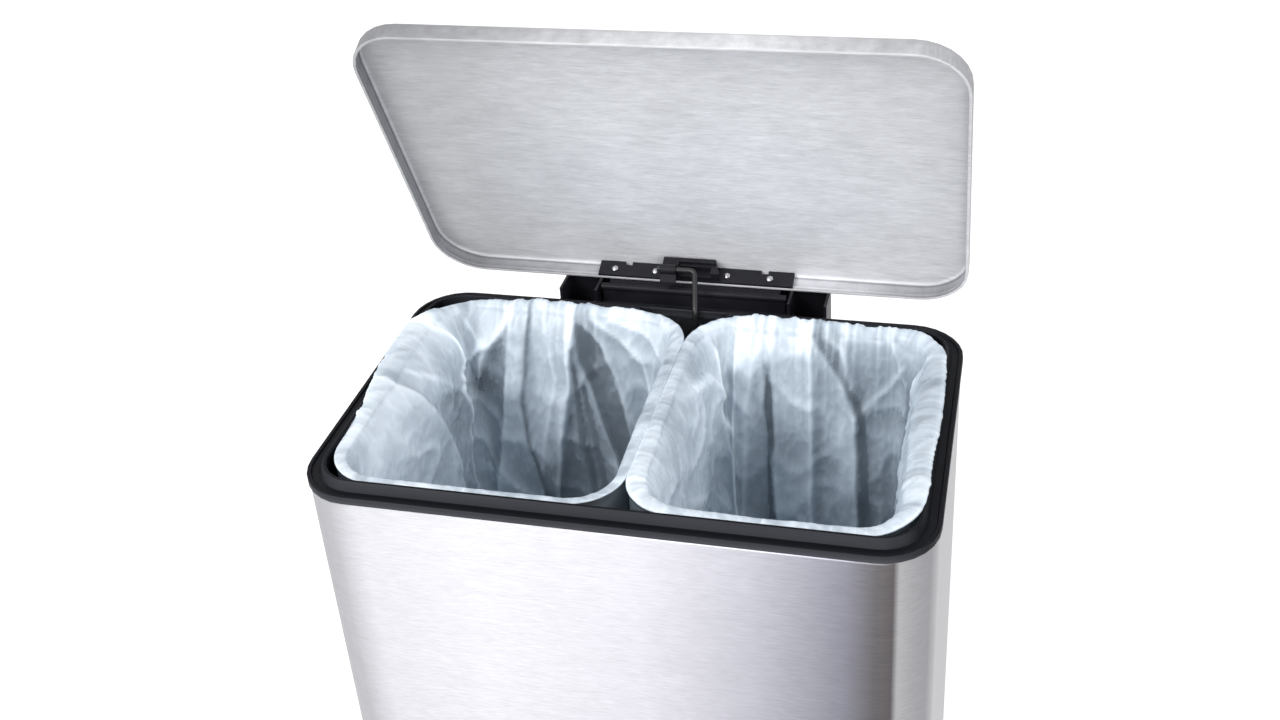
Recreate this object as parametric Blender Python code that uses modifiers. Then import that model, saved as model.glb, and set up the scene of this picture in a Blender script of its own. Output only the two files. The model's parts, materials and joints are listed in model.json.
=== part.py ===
"""Dual compartment pedal bin: steel body, hinged steel lid, pedal linkage, two buckets with liner bags.

Metres, +Z up, +X to the right and -Y to the front. The origin is on the floor under the bin's centre.
Every piece is drawn with the lid shut, then its pivots turn it to the open pose at the end.
"""

import math

import bmesh
import bpy
from mathutils import Matrix, Vector

# Body
body_width = 0.585
body_depth = 0.366
body_top = 0.600
corner_radius = 0.052
steel_wall = 0.001
steel_edge_radius = 0.003
steel_flange = 0.009
corner_steps = 7
bucket_corner_steps = 6
fillet_steps = 3

# Fits
seat_gap = 0.0003
running_gap = 0.0003
overrun = 0.004
weld_distance = 0.000001

# Base
base_height = 0.050
base_overhang = 0.001
base_wall = 0.003
base_rib = 0.003
spigot_height = 0.0245
spigot_wall = 0.003
base_step = 0.004
rib_margin = 0.001
rib_bite = 0.0005
channel_rib_x = 0.026
cross_rib_inset = 0.055
foot_inset = 0.0475
foot_radius = 0.014
foot_height = 0.006
foot_recess = 0.003
foot_chamfer = 0.001
foot_boss_wall = 0.003
pedal_slot_width = 0.045
pedal_slot_bottom = 0.0095
pedal_slot_top = 0.0465

# Tray that the buckets stand on
tray_thickness = 0.003
kerb_height = 0.010
kerb_width = 0.006
kerb_end_gap = 0.066
rod_slot_width = 0.015
rod_slot_length = 0.039

# Top collar, as insets from the steel's outer face and heights over its top
collar_overhang = 0.0015
collar_rim_width = 0.004
collar_rim_height = 0.0075
collar_chamfer = 0.001
gutter_floor = 0.0058
lip_foot = 0.010
lip_lean = 0.004
lip_height = 0.0145
lip_chamfer = 0.0008
collar_inset = 0.018
collar_skirt_drop = 0.030
collar_skirt_wall = 0.0025
window_half_width = 0.040
window_half_top = 0.0515
window_back = 0.0045
window_front = 0.022

# Lid, heights over the rim plane
rim_rise = 0.0078
lid_overhang_back = 0.0065
lid_height = 0.0211
lid_fillet = 0.006
lid_crown = 0.0012
crown_inset = 0.060
hem_width = 0.0035
hem_rise = 0.0045
hem_radius = 0.001

# Hinge
hinge_back = 0.028
hinge_drop = 0.014
lid_open_angle = math.radians(65.3)
barrel_radius = 0.007
barrel_end_gap = 0.0025
bar_radius = 0.004
bar_forward = 0.0212
bar_rise = 0.0114
hinge_web = 0.003
hinge_leaf = 0.002
leaf_end_gap = 0.0075
leaf_bottom = 0.0007
leaf_top = 0.0182
pin_radius = 0.003
pin_head_radius = 0.0045
pin_head = 0.002
pin_head_chamfer = 0.0005
pin_depth = 0.010

# Hinge housing
housing_half_width = 0.1475
housing_wall = 0.003
housing_reach = 0.055
housing_drop = 0.060
housing_back_rise = 0.014
housing_end_rise = 0.012
housing_front_gap = 0.020
housing_end_bay = 0.0425
housing_shoulder = 0.012
divider_drop = 0.001
pin_boss_radius = 0.0065
pin_boss_length = 0.0035
screw_inset = 0.0195
screw_drop = 0.032
screw_radius = 0.002
screw_head_radius = 0.004
screw_head = 0.002
screw_head_edge = 0.0007
screw_length = 0.0085

# Lid bracket, strap and rivets
bracket_half_length = 0.108
bracket_thickness = 0.003
bracket_low = 0.0007
bracket_height = 0.0186
bracket_notch_x = 0.076
bracket_notch_width = 0.008
bracket_notch_depth = 0.004
block_left = -0.031
block_right = 0.0235
block_slant = 0.006
block_thickness = 0.016
block_margin = 0.001
block_recess_height = 0.009
block_recess_depth = 0.008
block_end_wall = 0.004
rivet_x_shares = (-0.838, -0.412, 0.326, 0.762)
rivet_radius = 0.002
rivet_head_radius = 0.0036
rivet_head = 0.0015
rivet_dome = 0.0011
rivet_boss_radius = 0.005
rivet_rise = 0.0097

# Strap that holds the rod
division_x = 0.012
rod_x = 0.011
strap_width = 0.0175
strap_offset = 0.0363
strap_bar_height = 0.005
strap_thickness = 0.0027
strap_low = 0.0045
strap_high = 0.0182
eye_forward = 0.0481
eye_rise = 0.0210
eye_radius = 0.0055
strap_tail_back = 0.010
strap_tail_drop = 0.010

# Push rod
wire_radius = 0.003
wire_steps = 3
hook_end = 0.0035
hook_side = 0.007
hook_bend = 0.006
knee_forward = 0.0365
knee_drop = 0.0285
knee_bend = 0.010
loop_back = 0.0025
loop_drop = 0.0033
loop_half_width = 0.0096
loop_half_height = 0.0106
loop_steps = 14
loop_turn = math.radians(295)

# Pedal lever
axle_y = -0.040
axle_z = 0.040
axle_radius = 0.004
hub_radius = 0.008
lever_width = 0.040
lever_sheet = 0.002
lever_reach = 0.052
lever_front_bottom = 0.0115
lever_front_depth = 0.010
lever_bend_inset = 0.015
lever_pin_inset = 0.023
lever_pin_z = 0.062
lever_pin_radius = 0.003
lever_pin_head = 0.0012
lever_pin_head_radius = 0.0045
fork_length = 0.036
lever_eye_radius = 0.0072
lever_hub_rise = 0.011
spacer_radius = 0.0075
axle_boss_radius = 0.009
axle_boss_length = 0.006
damper_radius = 0.014
damper_length = 0.010
damper_ear = 0.019
damper_ear_thickness = 0.004
axle_end = 0.0015
clip_thickness = 0.0012
clip_radius = 0.0075

# Pedal
pedal_width = 0.072
pedal_length = 0.050
pedal_corner = 0.010
pedal_thickness = 0.002
pedal_reach = 0.058
pad_margin = 0.004
pad_thickness = 0.0025
pad_rib_height = 0.0012
pad_rib_width = 0.003
pad_ribs = 5

# Buckets and bags
bucket_front_gap = 0.0205
bucket_back_gap = 0.027
bucket_side_gap = 0.003
bucket_centre_gap = 0.0036
bucket_corner = 0.050
bucket_rim_height = 0.010
bucket_rim_width = 0.0055
bucket_rim_radius = 0.0018
bucket_lip = 0.010
bucket_wall = 0.0018
bucket_taper = 0.0245
bucket_floor_radius = 0.012
bucket_floor_bevel = 0.004
film = 0.0008
film_gap = 0.0004
cuff_drop = 0.040

# Places that follow from other sizes
half_depth = body_depth / 2
cross_rib_y = half_depth - cross_rib_inset
foot_x = body_width / 2 - foot_inset
rod_slot_front = half_depth - rod_slot_length
rim_plane = body_top + rim_rise
lid_depth = body_depth + lid_overhang_back
hinge_y = half_depth + hinge_back
hinge_z = body_top - hinge_drop
housing_back = half_depth + housing_reach
lever_front = half_depth + lever_reach
lever_bend_y = half_depth - lever_bend_inset
lever_pin_y = half_depth - lever_pin_inset
fork_open_y = lever_pin_y - fork_length
loop_centre_y = lever_pin_y + loop_back
loop_centre_z = lever_pin_z - loop_drop
pedal_front = half_depth + pedal_reach
bucket_depth = body_depth - bucket_front_gap - bucket_back_gap
bucket_y = (bucket_front_gap - bucket_back_gap) / 2
kerb_length = bucket_depth - 2 * kerb_end_gap
housing_bay = housing_half_width - housing_end_bay
screw_x = housing_half_width - screw_inset
barrel_half_length = housing_bay - barrel_end_gap
leaf_half_length = barrel_half_length - leaf_end_gap

# Turns
quarter = math.pi / 2
half_turn = math.pi
low_turn = half_turn + quarter

SCENE = bpy.context.scene


# Scene and materials
def clear_scene():
    for item in list(bpy.data.objects):
        bpy.data.objects.remove(item, do_unlink=True)


def collection(name):
    made = bpy.data.collections.new(name)
    SCENE.collection.children.link(made)
    return made


def material(name, color, roughness, metallic):
    made = bpy.data.materials.new(name)
    made.use_nodes = True
    shader = made.node_tree.nodes["Principled BSDF"]
    shader.inputs["Base Color"].default_value = (*color, 1.0)
    shader.inputs["Roughness"].default_value = roughness
    shader.inputs["Metallic"].default_value = metallic
    made.diffuse_color = (*color, 1.0)
    return made


clear_scene()
PARTS = collection("dual_compartment_pedal_bin")
CUTTERS = collection("cutters")
BRUSHED_STEEL = material("brushed_steel", (0.70, 0.70, 0.71), 0.34, 1.0)
BLACK_PLASTIC = material("black_plastic", (0.025, 0.025, 0.028), 0.42, 0.0)
BUCKET_PLASTIC = material("bucket_plastic", (0.07, 0.07, 0.075), 0.50, 0.0)
RUBBER = material("rubber", (0.03, 0.03, 0.03), 0.80, 0.0)
BAG_FILM = material("bag_film", (0.72, 0.78, 0.82), 0.40, 0.0)
BRIGHT_METAL = material("bright_metal", (0.62, 0.62, 0.63), 0.28, 1.0)
BLACK_WIRE = material("black_wire", (0.03, 0.03, 0.032), 0.35, 0.0)
ZINC_STEEL = material("zinc_steel", (0.55, 0.56, 0.57), 0.45, 1.0)


# Modelling helpers
def add(name, mesh, surface):
    """Link a mesh as an object with one material, shaded smooth between its sharp edges."""
    made = bpy.data.objects.new(name, mesh)
    PARTS.objects.link(made)
    mesh.materials.clear()
    mesh.materials.append(surface)
    mesh.shade_smooth()
    mesh.set_sharp_from_angle(angle=math.radians(35))
    return made


def mesh_from(worker, name):
    """Turn a finished bmesh into a mesh."""
    mesh = bpy.data.meshes.new(name)
    worker.to_mesh(mesh)
    worker.free()
    return mesh


def rounded_outline(width, depth, radius, centre=(0, 0), steps=corner_steps):
    """Points of a rounded rectangle, counter-clockwise as seen from above."""
    points = []
    for number, (side_x, side_y) in enumerate(((1, 1), (-1, 1), (-1, -1), (1, -1))):
        for step in range(steps + 1):
            angle = quarter * (number + step / steps)
            x = centre[0] + side_x * (width / 2 - radius) + radius * math.cos(angle)
            y = centre[1] + side_y * (depth / 2 - radius) + radius * math.sin(angle)
            points.append((x, y))
    return points


def rings(width, depth, radius, profile, centre=(0, 0), steps=corner_steps):
    """Rounded rectangles for a profile of (inset, height) pairs."""
    levels = []
    for inset, height in profile:
        corner = max(radius - inset, steel_wall)
        outline = rounded_outline(width - 2 * inset, depth - 2 * inset, corner, centre, steps)
        levels.append([(x, y, height) for x, y in outline])
    return levels


def arc(centre, radius, start, end, steps):
    """Points of an arc in a profile, from one angle to the other."""
    turns = [start + (end - start) * step / steps for step in range(steps + 1)]
    return [(centre[0] + radius * math.cos(a), centre[1] + radius * math.sin(a)) for a in turns]


def loft(name, levels, surface, start=False, end=False, joined=False):
    """Skin a run of rings. Its faces look outwards where the run climbs the outside."""
    worker = bmesh.new()
    loops = [[worker.verts.new(point) for point in level] for level in levels]
    if joined:
        loops.append(loops[0])
    count = len(levels[0])
    for lower, upper in zip(loops, loops[1:]):
        for index in range(count):
            after = (index + 1) % count
            worker.faces.new((lower[index], lower[after], upper[after], upper[index]))
    if start:
        worker.faces.new(loops[0][::-1])
    if end:
        worker.faces.new(loops[-1])
    return add(name, mesh_from(worker, name), surface)


def solidify(item, thickness, offset):
    """Give an open surface its wall: offset -1 grows it behind the faces and 1 in front."""
    modifier = item.modifiers.new("wall", "SOLIDIFY")
    modifier.thickness = thickness
    modifier.offset = offset
    modifier.use_even_offset = True
    modifier.use_rim = True
    return item


AXES = {
    "x": Matrix(((0, 0, 1), (1, 0, 0), (0, 1, 0))),
    "y": Matrix(((1, 0, 0), (0, 0, -1), (0, 1, 0))),
    "z": Matrix.Identity(3),
}


def plate(name, outlines, thickness, surface, normal="z", middle=0):
    """Extrude a flat outline, with any later outlines as holes, square to one axis."""
    curve = bpy.data.curves.new(name, "CURVE")
    curve.dimensions = "2D"
    curve.fill_mode = "BOTH"
    curve.extrude = thickness / 2
    for outline in outlines:
        spline = curve.splines.new("POLY")
        spline.points.add(len(outline) - 1)
        for point, place in zip(spline.points, outline):
            point.co = (place[0], place[1], 0, 1)
        spline.use_cyclic_u = True
    return curve_to_mesh(name, curve, AXES[normal], middle, surface)


def curve_to_mesh(name, curve, turn, middle, surface):
    """Make a closed mesh of a curve, turned to its axis and moved along it."""
    guide = bpy.data.objects.new(name + "_guide", curve)
    CUTTERS.objects.link(guide)
    graph = bpy.context.evaluated_depsgraph_get()
    mesh = bpy.data.meshes.new_from_object(guide.evaluated_get(graph))
    bpy.data.objects.remove(guide, do_unlink=True)
    worker = bmesh.new()
    worker.from_mesh(mesh)
    bmesh.ops.remove_doubles(worker, verts=worker.verts, dist=weld_distance)
    along = turn @ Vector((0, 0, middle))
    bmesh.ops.transform(worker, verts=worker.verts, matrix=Matrix.Translation(along) @ turn.to_4x4())
    bmesh.ops.recalc_face_normals(worker, faces=worker.faces)
    worker.to_mesh(mesh)
    worker.free()
    return add(name, mesh, surface)


def cylinder(name, axis, centre, radius, start, end, surface, sides=20):
    """A cylinder along one axis, between two places on it. centre is its place on the other two."""
    worker = bmesh.new()
    bmesh.ops.create_cone(
        worker, cap_ends=True, segments=sides, radius1=radius, radius2=radius, depth=end - start
    )
    bmesh.ops.transform(worker, verts=worker.verts, matrix=AXES[axis].to_4x4())
    made = add(name, mesh_from(worker, name), surface)
    made.location = on_axis(axis, (start + end) / 2, centre)
    return made


def on_axis(axis, along, centre):
    """A point at a place along one axis and at centre on the other two, in x, y, z order."""
    spots = {
        "x": (along, centre[0], centre[1]),
        "y": (centre[0], along, centre[1]),
        "z": (centre[0], centre[1], along),
    }
    return Vector(spots[axis])


def box(name, low, high, surface):
    """A box between two corners."""
    worker = bmesh.new()
    bmesh.ops.create_cube(worker, size=1)
    size = [top - bottom for bottom, top in zip(low, high)]
    bmesh.ops.scale(worker, verts=worker.verts, vec=size)
    made = add(name, mesh_from(worker, name), surface)
    made.location = [(bottom + top) / 2 for bottom, top in zip(low, high)]
    return made


def turned(name, profile, place, axis, surface, sides=16):
    """Turn a profile of (radius, height) pairs, top to bottom, and stand it along an axis."""
    worker = bmesh.new()
    spots = [worker.verts.new((radius, 0, height)) for radius, height in profile]
    for upper, lower in zip(spots, spots[1:]):
        worker.edges.new((upper, lower))
    made = add(name, mesh_from(worker, name), surface)
    screw = made.modifiers.new("turn", "SCREW")
    screw.steps = sides
    screw.render_steps = sides
    screw.use_merge_vertices = True
    screw.merge_threshold = weld_distance
    made.location = place
    made.rotation_mode = "QUATERNION"
    made.rotation_quaternion = Vector((0, 0, 1)).rotation_difference(Vector(axis))
    return made


def hang(child, parent):
    """Parent a piece where it stands, so that it follows its parent from there."""
    child.parent = parent
    child.matrix_parent_inverse = parent.matrix_basis.inverted()


def work(target, tool, operation="DIFFERENCE"):
    """Cut a tool from a piece, or join it on, and keep the tool with the cutters."""
    modifier = target.modifiers.new(tool.name, "BOOLEAN")
    modifier.operation = operation
    modifier.object = tool
    for group in list(tool.users_collection):
        group.objects.unlink(tool)
    CUTTERS.objects.link(tool)
    tool.hide_render = True
    tool.display_type = "WIRE"
    hang(tool, target)


def pivot(name, place, parent=None):
    """An empty on a joint's axis."""
    made = bpy.data.objects.new(name, None)
    PARTS.objects.link(made)
    made.location = place
    if parent:
        hang(made, parent)
    return made


# Steel body
def make_body_shell():
    edge_centre = (steel_edge_radius, body_top - steel_edge_radius)
    edge = arc(edge_centre, steel_edge_radius, half_turn, quarter, fillet_steps)
    profile = [(0, base_height + seat_gap)] + edge + [(steel_flange, body_top)]
    shell = loft("body_shell", rings(body_width, body_depth, corner_radius, profile), BRUSHED_STEEL)
    solidify(shell, steel_wall, -1)
    work(shell, window_cutter("body_window"))
    for number, side in enumerate((-1, 1)):
        hole = cylinder(
            f"body_screw_hole_{number}", "y", (side * screw_x, body_top - screw_drop),
            screw_radius + running_gap, body_depth / 2 - overrun, body_depth / 2 + overrun, BLACK_PLASTIC,
        )
        work(shell, hole)
    return shell


def window_cutter(name):
    """The notch at the back that the rod and its strap pass through."""
    low = body_top - collar_skirt_drop - overrun
    foot = body_top + lip_foot - overrun
    high = body_top + lip_height + overrun
    outline = [
        (-window_half_width, low), (window_half_width, low), (window_half_width, foot),
        (window_half_top, high), (-window_half_top, high), (-window_half_width, foot),
    ]
    back = body_depth / 2 - window_back
    front = body_depth / 2 - window_front
    return plate(name, [outline], back - front, BLACK_PLASTIC, "y", -(back + front) / 2)


def make_top_collar():
    rim_out = -collar_overhang
    rim_in = rim_out + collar_rim_width
    rim_top = body_top + collar_rim_height
    seat = body_top + seat_gap
    gutter = body_top + gutter_floor
    lip_top = body_top + lip_height
    lip_out = lip_foot + lip_lean
    skirt_in = collar_inset
    skirt_out = collar_inset - collar_skirt_wall
    skirt_low = body_top - collar_skirt_drop
    profile = [
        (rim_out, seat), (rim_out, rim_top - collar_chamfer), (rim_out + collar_chamfer, rim_top),
        (rim_in, rim_top), (rim_in + collar_chamfer, gutter), (lip_foot, gutter),
        (lip_out, lip_top - lip_chamfer), (lip_out + lip_chamfer, lip_top),
        (skirt_in - lip_chamfer, lip_top), (skirt_in, lip_top - lip_chamfer),
        (skirt_in, skirt_low), (skirt_out, skirt_low), (skirt_out, seat),
    ]
    levels = rings(body_width, body_depth, corner_radius, profile)
    collar = loft("top_collar", levels, BLACK_PLASTIC, joined=True)
    work(collar, window_cutter("collar_window"))
    return collar


# Base with its ribs, feet and tray
def make_base():
    outer = -base_overhang
    inner = outer + base_wall
    fit = steel_wall + running_gap
    spigot_in = fit + spigot_wall
    low = foot_height - foot_recess
    top = base_height + spigot_height
    profile = [
        (outer, low), (outer, base_height), (fit, base_height), (fit, top), (spigot_in, top),
        (spigot_in, base_height - base_step), (inner, base_height - 2 * base_step), (inner, low),
    ]
    levels = rings(body_width, body_depth, corner_radius, profile)
    base = loft("base_plinth", levels, BLACK_PLASTIC, joined=True)
    reach_y = body_depth / 2 - inner + rib_bite
    reach_x = body_width / 2 - inner + rib_bite
    half_rib = base_rib / 2
    rib_low, rib_top = low + rib_margin, top - rib_margin
    for number, side in enumerate((-1, 1)):
        rib = box(
            f"channel_rib_{number}", (side * channel_rib_x - half_rib, -reach_y, rib_low),
            (side * channel_rib_x + half_rib, reach_y, rib_top), BLACK_PLASTIC,
        )
        work(base, rib, "UNION")
        boss_end = channel_rib_x + half_rib + axle_boss_length
        start, end = sorted((side * channel_rib_x, side * boss_end))
        boss = cylinder(
            f"axle_boss_{number}", "x", (axle_y, axle_z), axle_boss_radius, start, end, BLACK_PLASTIC
        )
        work(base, boss, "UNION")
        for line in (-1, 1):
            rib_start, rib_end = sorted((side * channel_rib_x, side * reach_x))
            cross = box(
                f"cross_rib_{number}_{line}", (rib_start, line * cross_rib_y - half_rib, rib_low),
                (rib_end, line * cross_rib_y + half_rib, rib_top - rib_margin), BLACK_PLASTIC,
            )
            work(base, cross, "UNION")
            pad = cylinder(
                f"foot_boss_{number}_{line}", "z", (side * foot_x, line * cross_rib_y),
                foot_radius + foot_boss_wall, low, base_height, BLACK_PLASTIC, sides=20,
            )
            work(base, pad, "UNION")
    for number, (side, line) in enumerate(((-1, -1), (1, -1), (-1, 1), (1, 1))):
        recess = cylinder(
            f"foot_recess_{number}", "z", (side * foot_x, line * cross_rib_y),
            foot_radius + seat_gap, low - overrun, foot_height + seat_gap, BLACK_PLASTIC, sides=20,
        )
        work(base, recess)
    slot = box(
        "pedal_slot", (-pedal_slot_width / 2, -body_depth / 2 - overrun, pedal_slot_bottom),
        (pedal_slot_width / 2, -body_depth / 2 + 2 * overrun, pedal_slot_top), BLACK_PLASTIC,
    )
    work(base, slot)
    bore_end = channel_rib_x + base_rib + axle_boss_length + overrun
    bore = cylinder(
        "axle_bore", "x", (axle_y, axle_z), axle_radius + running_gap, -bore_end, bore_end, BLACK_PLASTIC
    )
    work(base, bore)
    return base


def make_feet():
    names = {(-1, -1): "front_left", (1, -1): "front_right", (-1, 1): "rear_left", (1, 1): "rear_right"}
    for (side, line), name in names.items():
        flat = foot_radius - foot_chamfer
        profile = [
            (0, foot_height), (foot_radius, foot_height), (foot_radius, foot_chamfer), (flat, 0), (0, 0),
        ]
        turned(f"foot_{name}", profile, (side * foot_x, line * cross_rib_y, 0), (0, 0, 1), RUBBER, 20)


tray_bottom = base_height + spigot_height + seat_gap
tray_top = tray_bottom + tray_thickness


def make_floor_tray():
    fit = steel_wall + 2 * running_gap
    levels = rings(body_width, body_depth, corner_radius, [(fit, tray_bottom), (fit, tray_top)])
    tray = loft("floor_tray", levels, BLACK_PLASTIC, start=True, end=True)
    wall_inset = bucket_rim_width + bucket_taper
    centre_half = bucket_centre_gap / 2 + wall_inset - overrun
    sides = (
        (division_x - centre_half, division_x - centre_half + kerb_width),
        (division_x + centre_half - kerb_width, division_x + centre_half),
    )
    for number, (left, right) in enumerate(sides):
        kerb = box(
            f"kerb_{number}", (left, -kerb_length / 2, tray_bottom + tray_thickness / 2),
            (right, kerb_length / 2, tray_top + kerb_height), BLACK_PLASTIC,
        )
        work(tray, kerb, "UNION")
    slot = box(
        "rod_slot", (rod_x - rod_slot_width / 2, rod_slot_front, tray_bottom - overrun),
        (rod_x + rod_slot_width / 2, body_depth / 2, tray_top + overrun), BLACK_PLASTIC,
    )
    work(tray, slot)
    return tray


# Hinge housing behind the collar
housing_front = body_depth / 2 + seat_gap
housing_bottom = body_top - housing_drop


def make_hinge_housing():
    outer_depth = housing_back - housing_front
    middle = (housing_back + housing_front) / 2
    top = body_top + housing_back_rise
    levels = []
    outline = rounded_outline(2 * housing_half_width, outer_depth, steel_edge_radius, (0, middle))
    for height in (housing_bottom, top):
        levels.append([(x, y, height) for x, y in outline])
    housing = loft("hinge_housing", levels, BLACK_PLASTIC, start=True, end=True)
    wall = housing_wall
    bays = (
        ("left", -housing_half_width + wall, -housing_bay - wall),
        ("middle", -housing_bay, housing_bay),
        ("right", housing_bay + wall, housing_half_width - wall),
    )
    for name, left, right in bays:
        hollow = box(
            f"housing_bay_{name}", (left, housing_front + wall, housing_bottom + wall),
            (right, housing_back - wall, top + overrun), BLACK_PLASTIC,
        )
        work(housing, hollow)
    reach = housing_half_width + overrun
    lowered = box(
        "housing_ends_top", (-reach, housing_front - overrun, body_top - divider_drop),
        (reach, hinge_y - housing_shoulder, top + overrun), BLACK_PLASTIC,
    )
    work(housing, lowered)
    ends = box(
        "housing_sides_top", (-reach, housing_front - overrun, body_top + housing_end_rise),
        (reach, housing_back - wall, top + overrun), BLACK_PLASTIC,
    )
    work(housing, ends)
    front = box(
        "housing_front_gap", (-housing_bay, housing_front - overrun, body_top - housing_front_gap),
        (housing_bay, housing_front + wall + overrun, top + overrun), BLACK_PLASTIC,
    )
    work(housing, front)
    for number, side in enumerate((-1, 1)):
        boss_end = housing_bay + wall + pin_boss_length
        start, end = sorted((side * (housing_bay + wall / 2), side * boss_end))
        boss = cylinder(
            f"pin_boss_{number}", "x", (hinge_y, hinge_z), pin_boss_radius, start, end, BLACK_PLASTIC
        )
        work(housing, boss, "UNION")
    for number, side in enumerate((-1, 1)):
        bore_end = housing_bay + wall + pin_boss_length + overrun
        start, end = sorted((side * (housing_bay - overrun), side * bore_end))
        bore = cylinder(
            f"housing_pin_bore_{number}", "x", (hinge_y, hinge_z), pin_radius + running_gap,
            start, end, BLACK_PLASTIC,
        )
        work(housing, bore)
        hole = cylinder(
            f"housing_screw_hole_{number}", "y", (side * screw_x, body_top - screw_drop),
            screw_radius + running_gap, housing_front - overrun, housing_front + wall + overrun,
            BLACK_PLASTIC,
        )
        work(housing, hole)
    return housing


def make_hinge_pins():
    for name, side in (("left", -1), ("right", 1)):
        outside = housing_bay + housing_wall + pin_boss_length + seat_gap
        tip = barrel_half_length - pin_depth
        profile = [
            (0, outside + pin_head), (pin_head_radius - pin_head_chamfer, outside + pin_head),
            (pin_head_radius, outside + pin_head - pin_head_chamfer), (pin_head_radius, outside),
            (pin_radius, outside), (pin_radius, tip), (0, tip),
        ]
        turned(f"hinge_pin_{name}", profile, (0, hinge_y, hinge_z), (side, 0, 0), BRIGHT_METAL)


def make_housing_screws():
    for name, side in (("left", -1), ("right", 1)):
        seat = housing_wall + seat_gap
        profile = [
            (0, seat + screw_head), (screw_head_radius / 2, seat + screw_head),
            (screw_head_radius, seat + screw_head_edge), (screw_head_radius, seat),
            (screw_radius, seat), (screw_radius, seat - screw_length), (0, seat - screw_length),
        ]
        place = (side * screw_x, housing_front, body_top - screw_drop)
        turned(f"housing_screw_{name}", profile, place, (0, 1, 0), BRIGHT_METAL)


# Lid, drawn shut
lid_front = -body_depth / 2
lid_back = lid_front + lid_depth
lid_middle = (lid_front + lid_back) / 2
skirt_inside = lid_back - steel_wall


def make_lid_shell(lid_pivot):
    low, top = rim_plane, rim_plane + lid_height
    foot = arc((hem_radius, low + hem_radius), hem_radius, half_turn, low_turn, 2)[::-1]
    shoulder = arc((lid_fillet, top - lid_fillet), lid_fillet, half_turn, quarter, fillet_steps + 1)
    hem_turn = arc((hem_width - hem_radius, low + hem_radius), hem_radius, 0, -quarter, 2)
    profile = [(hem_width, low + hem_rise)] + hem_turn + foot + shoulder
    profile.append((crown_inset, top + lid_crown))
    levels = rings(body_width, lid_depth, corner_radius, profile, (0, lid_middle))
    lid = loft("lid_shell", levels, BRUSHED_STEEL, end=True)
    solidify(lid, steel_wall, -1)
    for number, x in enumerate(rivet_xs()):
        hole = cylinder(
            f"lid_rivet_hole_{number}", "y", (x, rim_plane + rivet_rise), rivet_radius + running_gap,
            skirt_inside - overrun / 2, lid_back + overrun, BRUSHED_STEEL, sides=12,
        )
        work(lid, hole)
    hang(lid, lid_pivot)
    return lid


def rivet_xs():
    return [share * bracket_half_length for share in rivet_x_shares]


def make_hinge_plate(lid_pivot):
    """Barrel on the axis, web, rounded bar under the lid's rim, and the leaf riveted to the back skirt."""
    half = barrel_half_length
    bar = (hinge_y - bar_forward, hinge_z + bar_rise)
    leaf_front = lid_back + seat_gap
    hinge = cylinder(
        "hinge_plate", "x", (hinge_y, hinge_z), barrel_radius, -half, half, BLACK_PLASTIC, sides=24
    )
    bar_piece = cylinder("hinge_bar", "x", bar, bar_radius, -half, half, BLACK_PLASTIC, sides=16)
    along = Vector((bar[0] - hinge_y, bar[1] - hinge_z)).normalized()
    across = Vector((-along.y, along.x)) * hinge_web / 2
    ends = (Vector((hinge_y, hinge_z)), Vector(bar))
    web_outline = [ends[0] - across, ends[1] - across, ends[1] + across, ends[0] + across]
    web = plate("hinge_web", [web_outline], 2 * half - hinge_leaf, BLACK_PLASTIC, "x")
    low = rim_plane + leaf_bottom
    high = rim_plane + leaf_top
    leaf_back = leaf_front + hinge_leaf
    leaf_outline = [
        (leaf_front, bar[1]), (leaf_back, bar[1]), (leaf_back, high), (leaf_front, high), (leaf_front, low),
    ]
    leaf = plate("hinge_leaf", [leaf_outline], 2 * leaf_half_length, BLACK_PLASTIC, "x")
    for piece in (web, bar_piece, leaf):
        work(hinge, piece, "UNION")
    for number, side in enumerate((-1, 1)):
        bore_start = half - pin_depth - 2 * running_gap
        start, end = sorted((side * bore_start, side * (half + overrun)))
        bore = cylinder(
            f"barrel_bore_{number}", "x", (hinge_y, hinge_z), pin_radius + running_gap,
            start, end, BLACK_PLASTIC,
        )
        work(hinge, bore)
    for number, x in enumerate(rivet_xs()):
        hole = cylinder(
            f"leaf_rivet_hole_{number}", "y", (x, rim_plane + rivet_rise), rivet_radius + running_gap,
            leaf_front - overrun / 2, leaf_back + overrun, BLACK_PLASTIC, sides=12,
        )
        work(hinge, hole)
    hang(hinge, lid_pivot)
    return hinge


bracket_back = lid_back - hem_width - seat_gap
bracket_face = bracket_back - bracket_thickness
block_face = bracket_face - block_thickness + bracket_thickness


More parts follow.
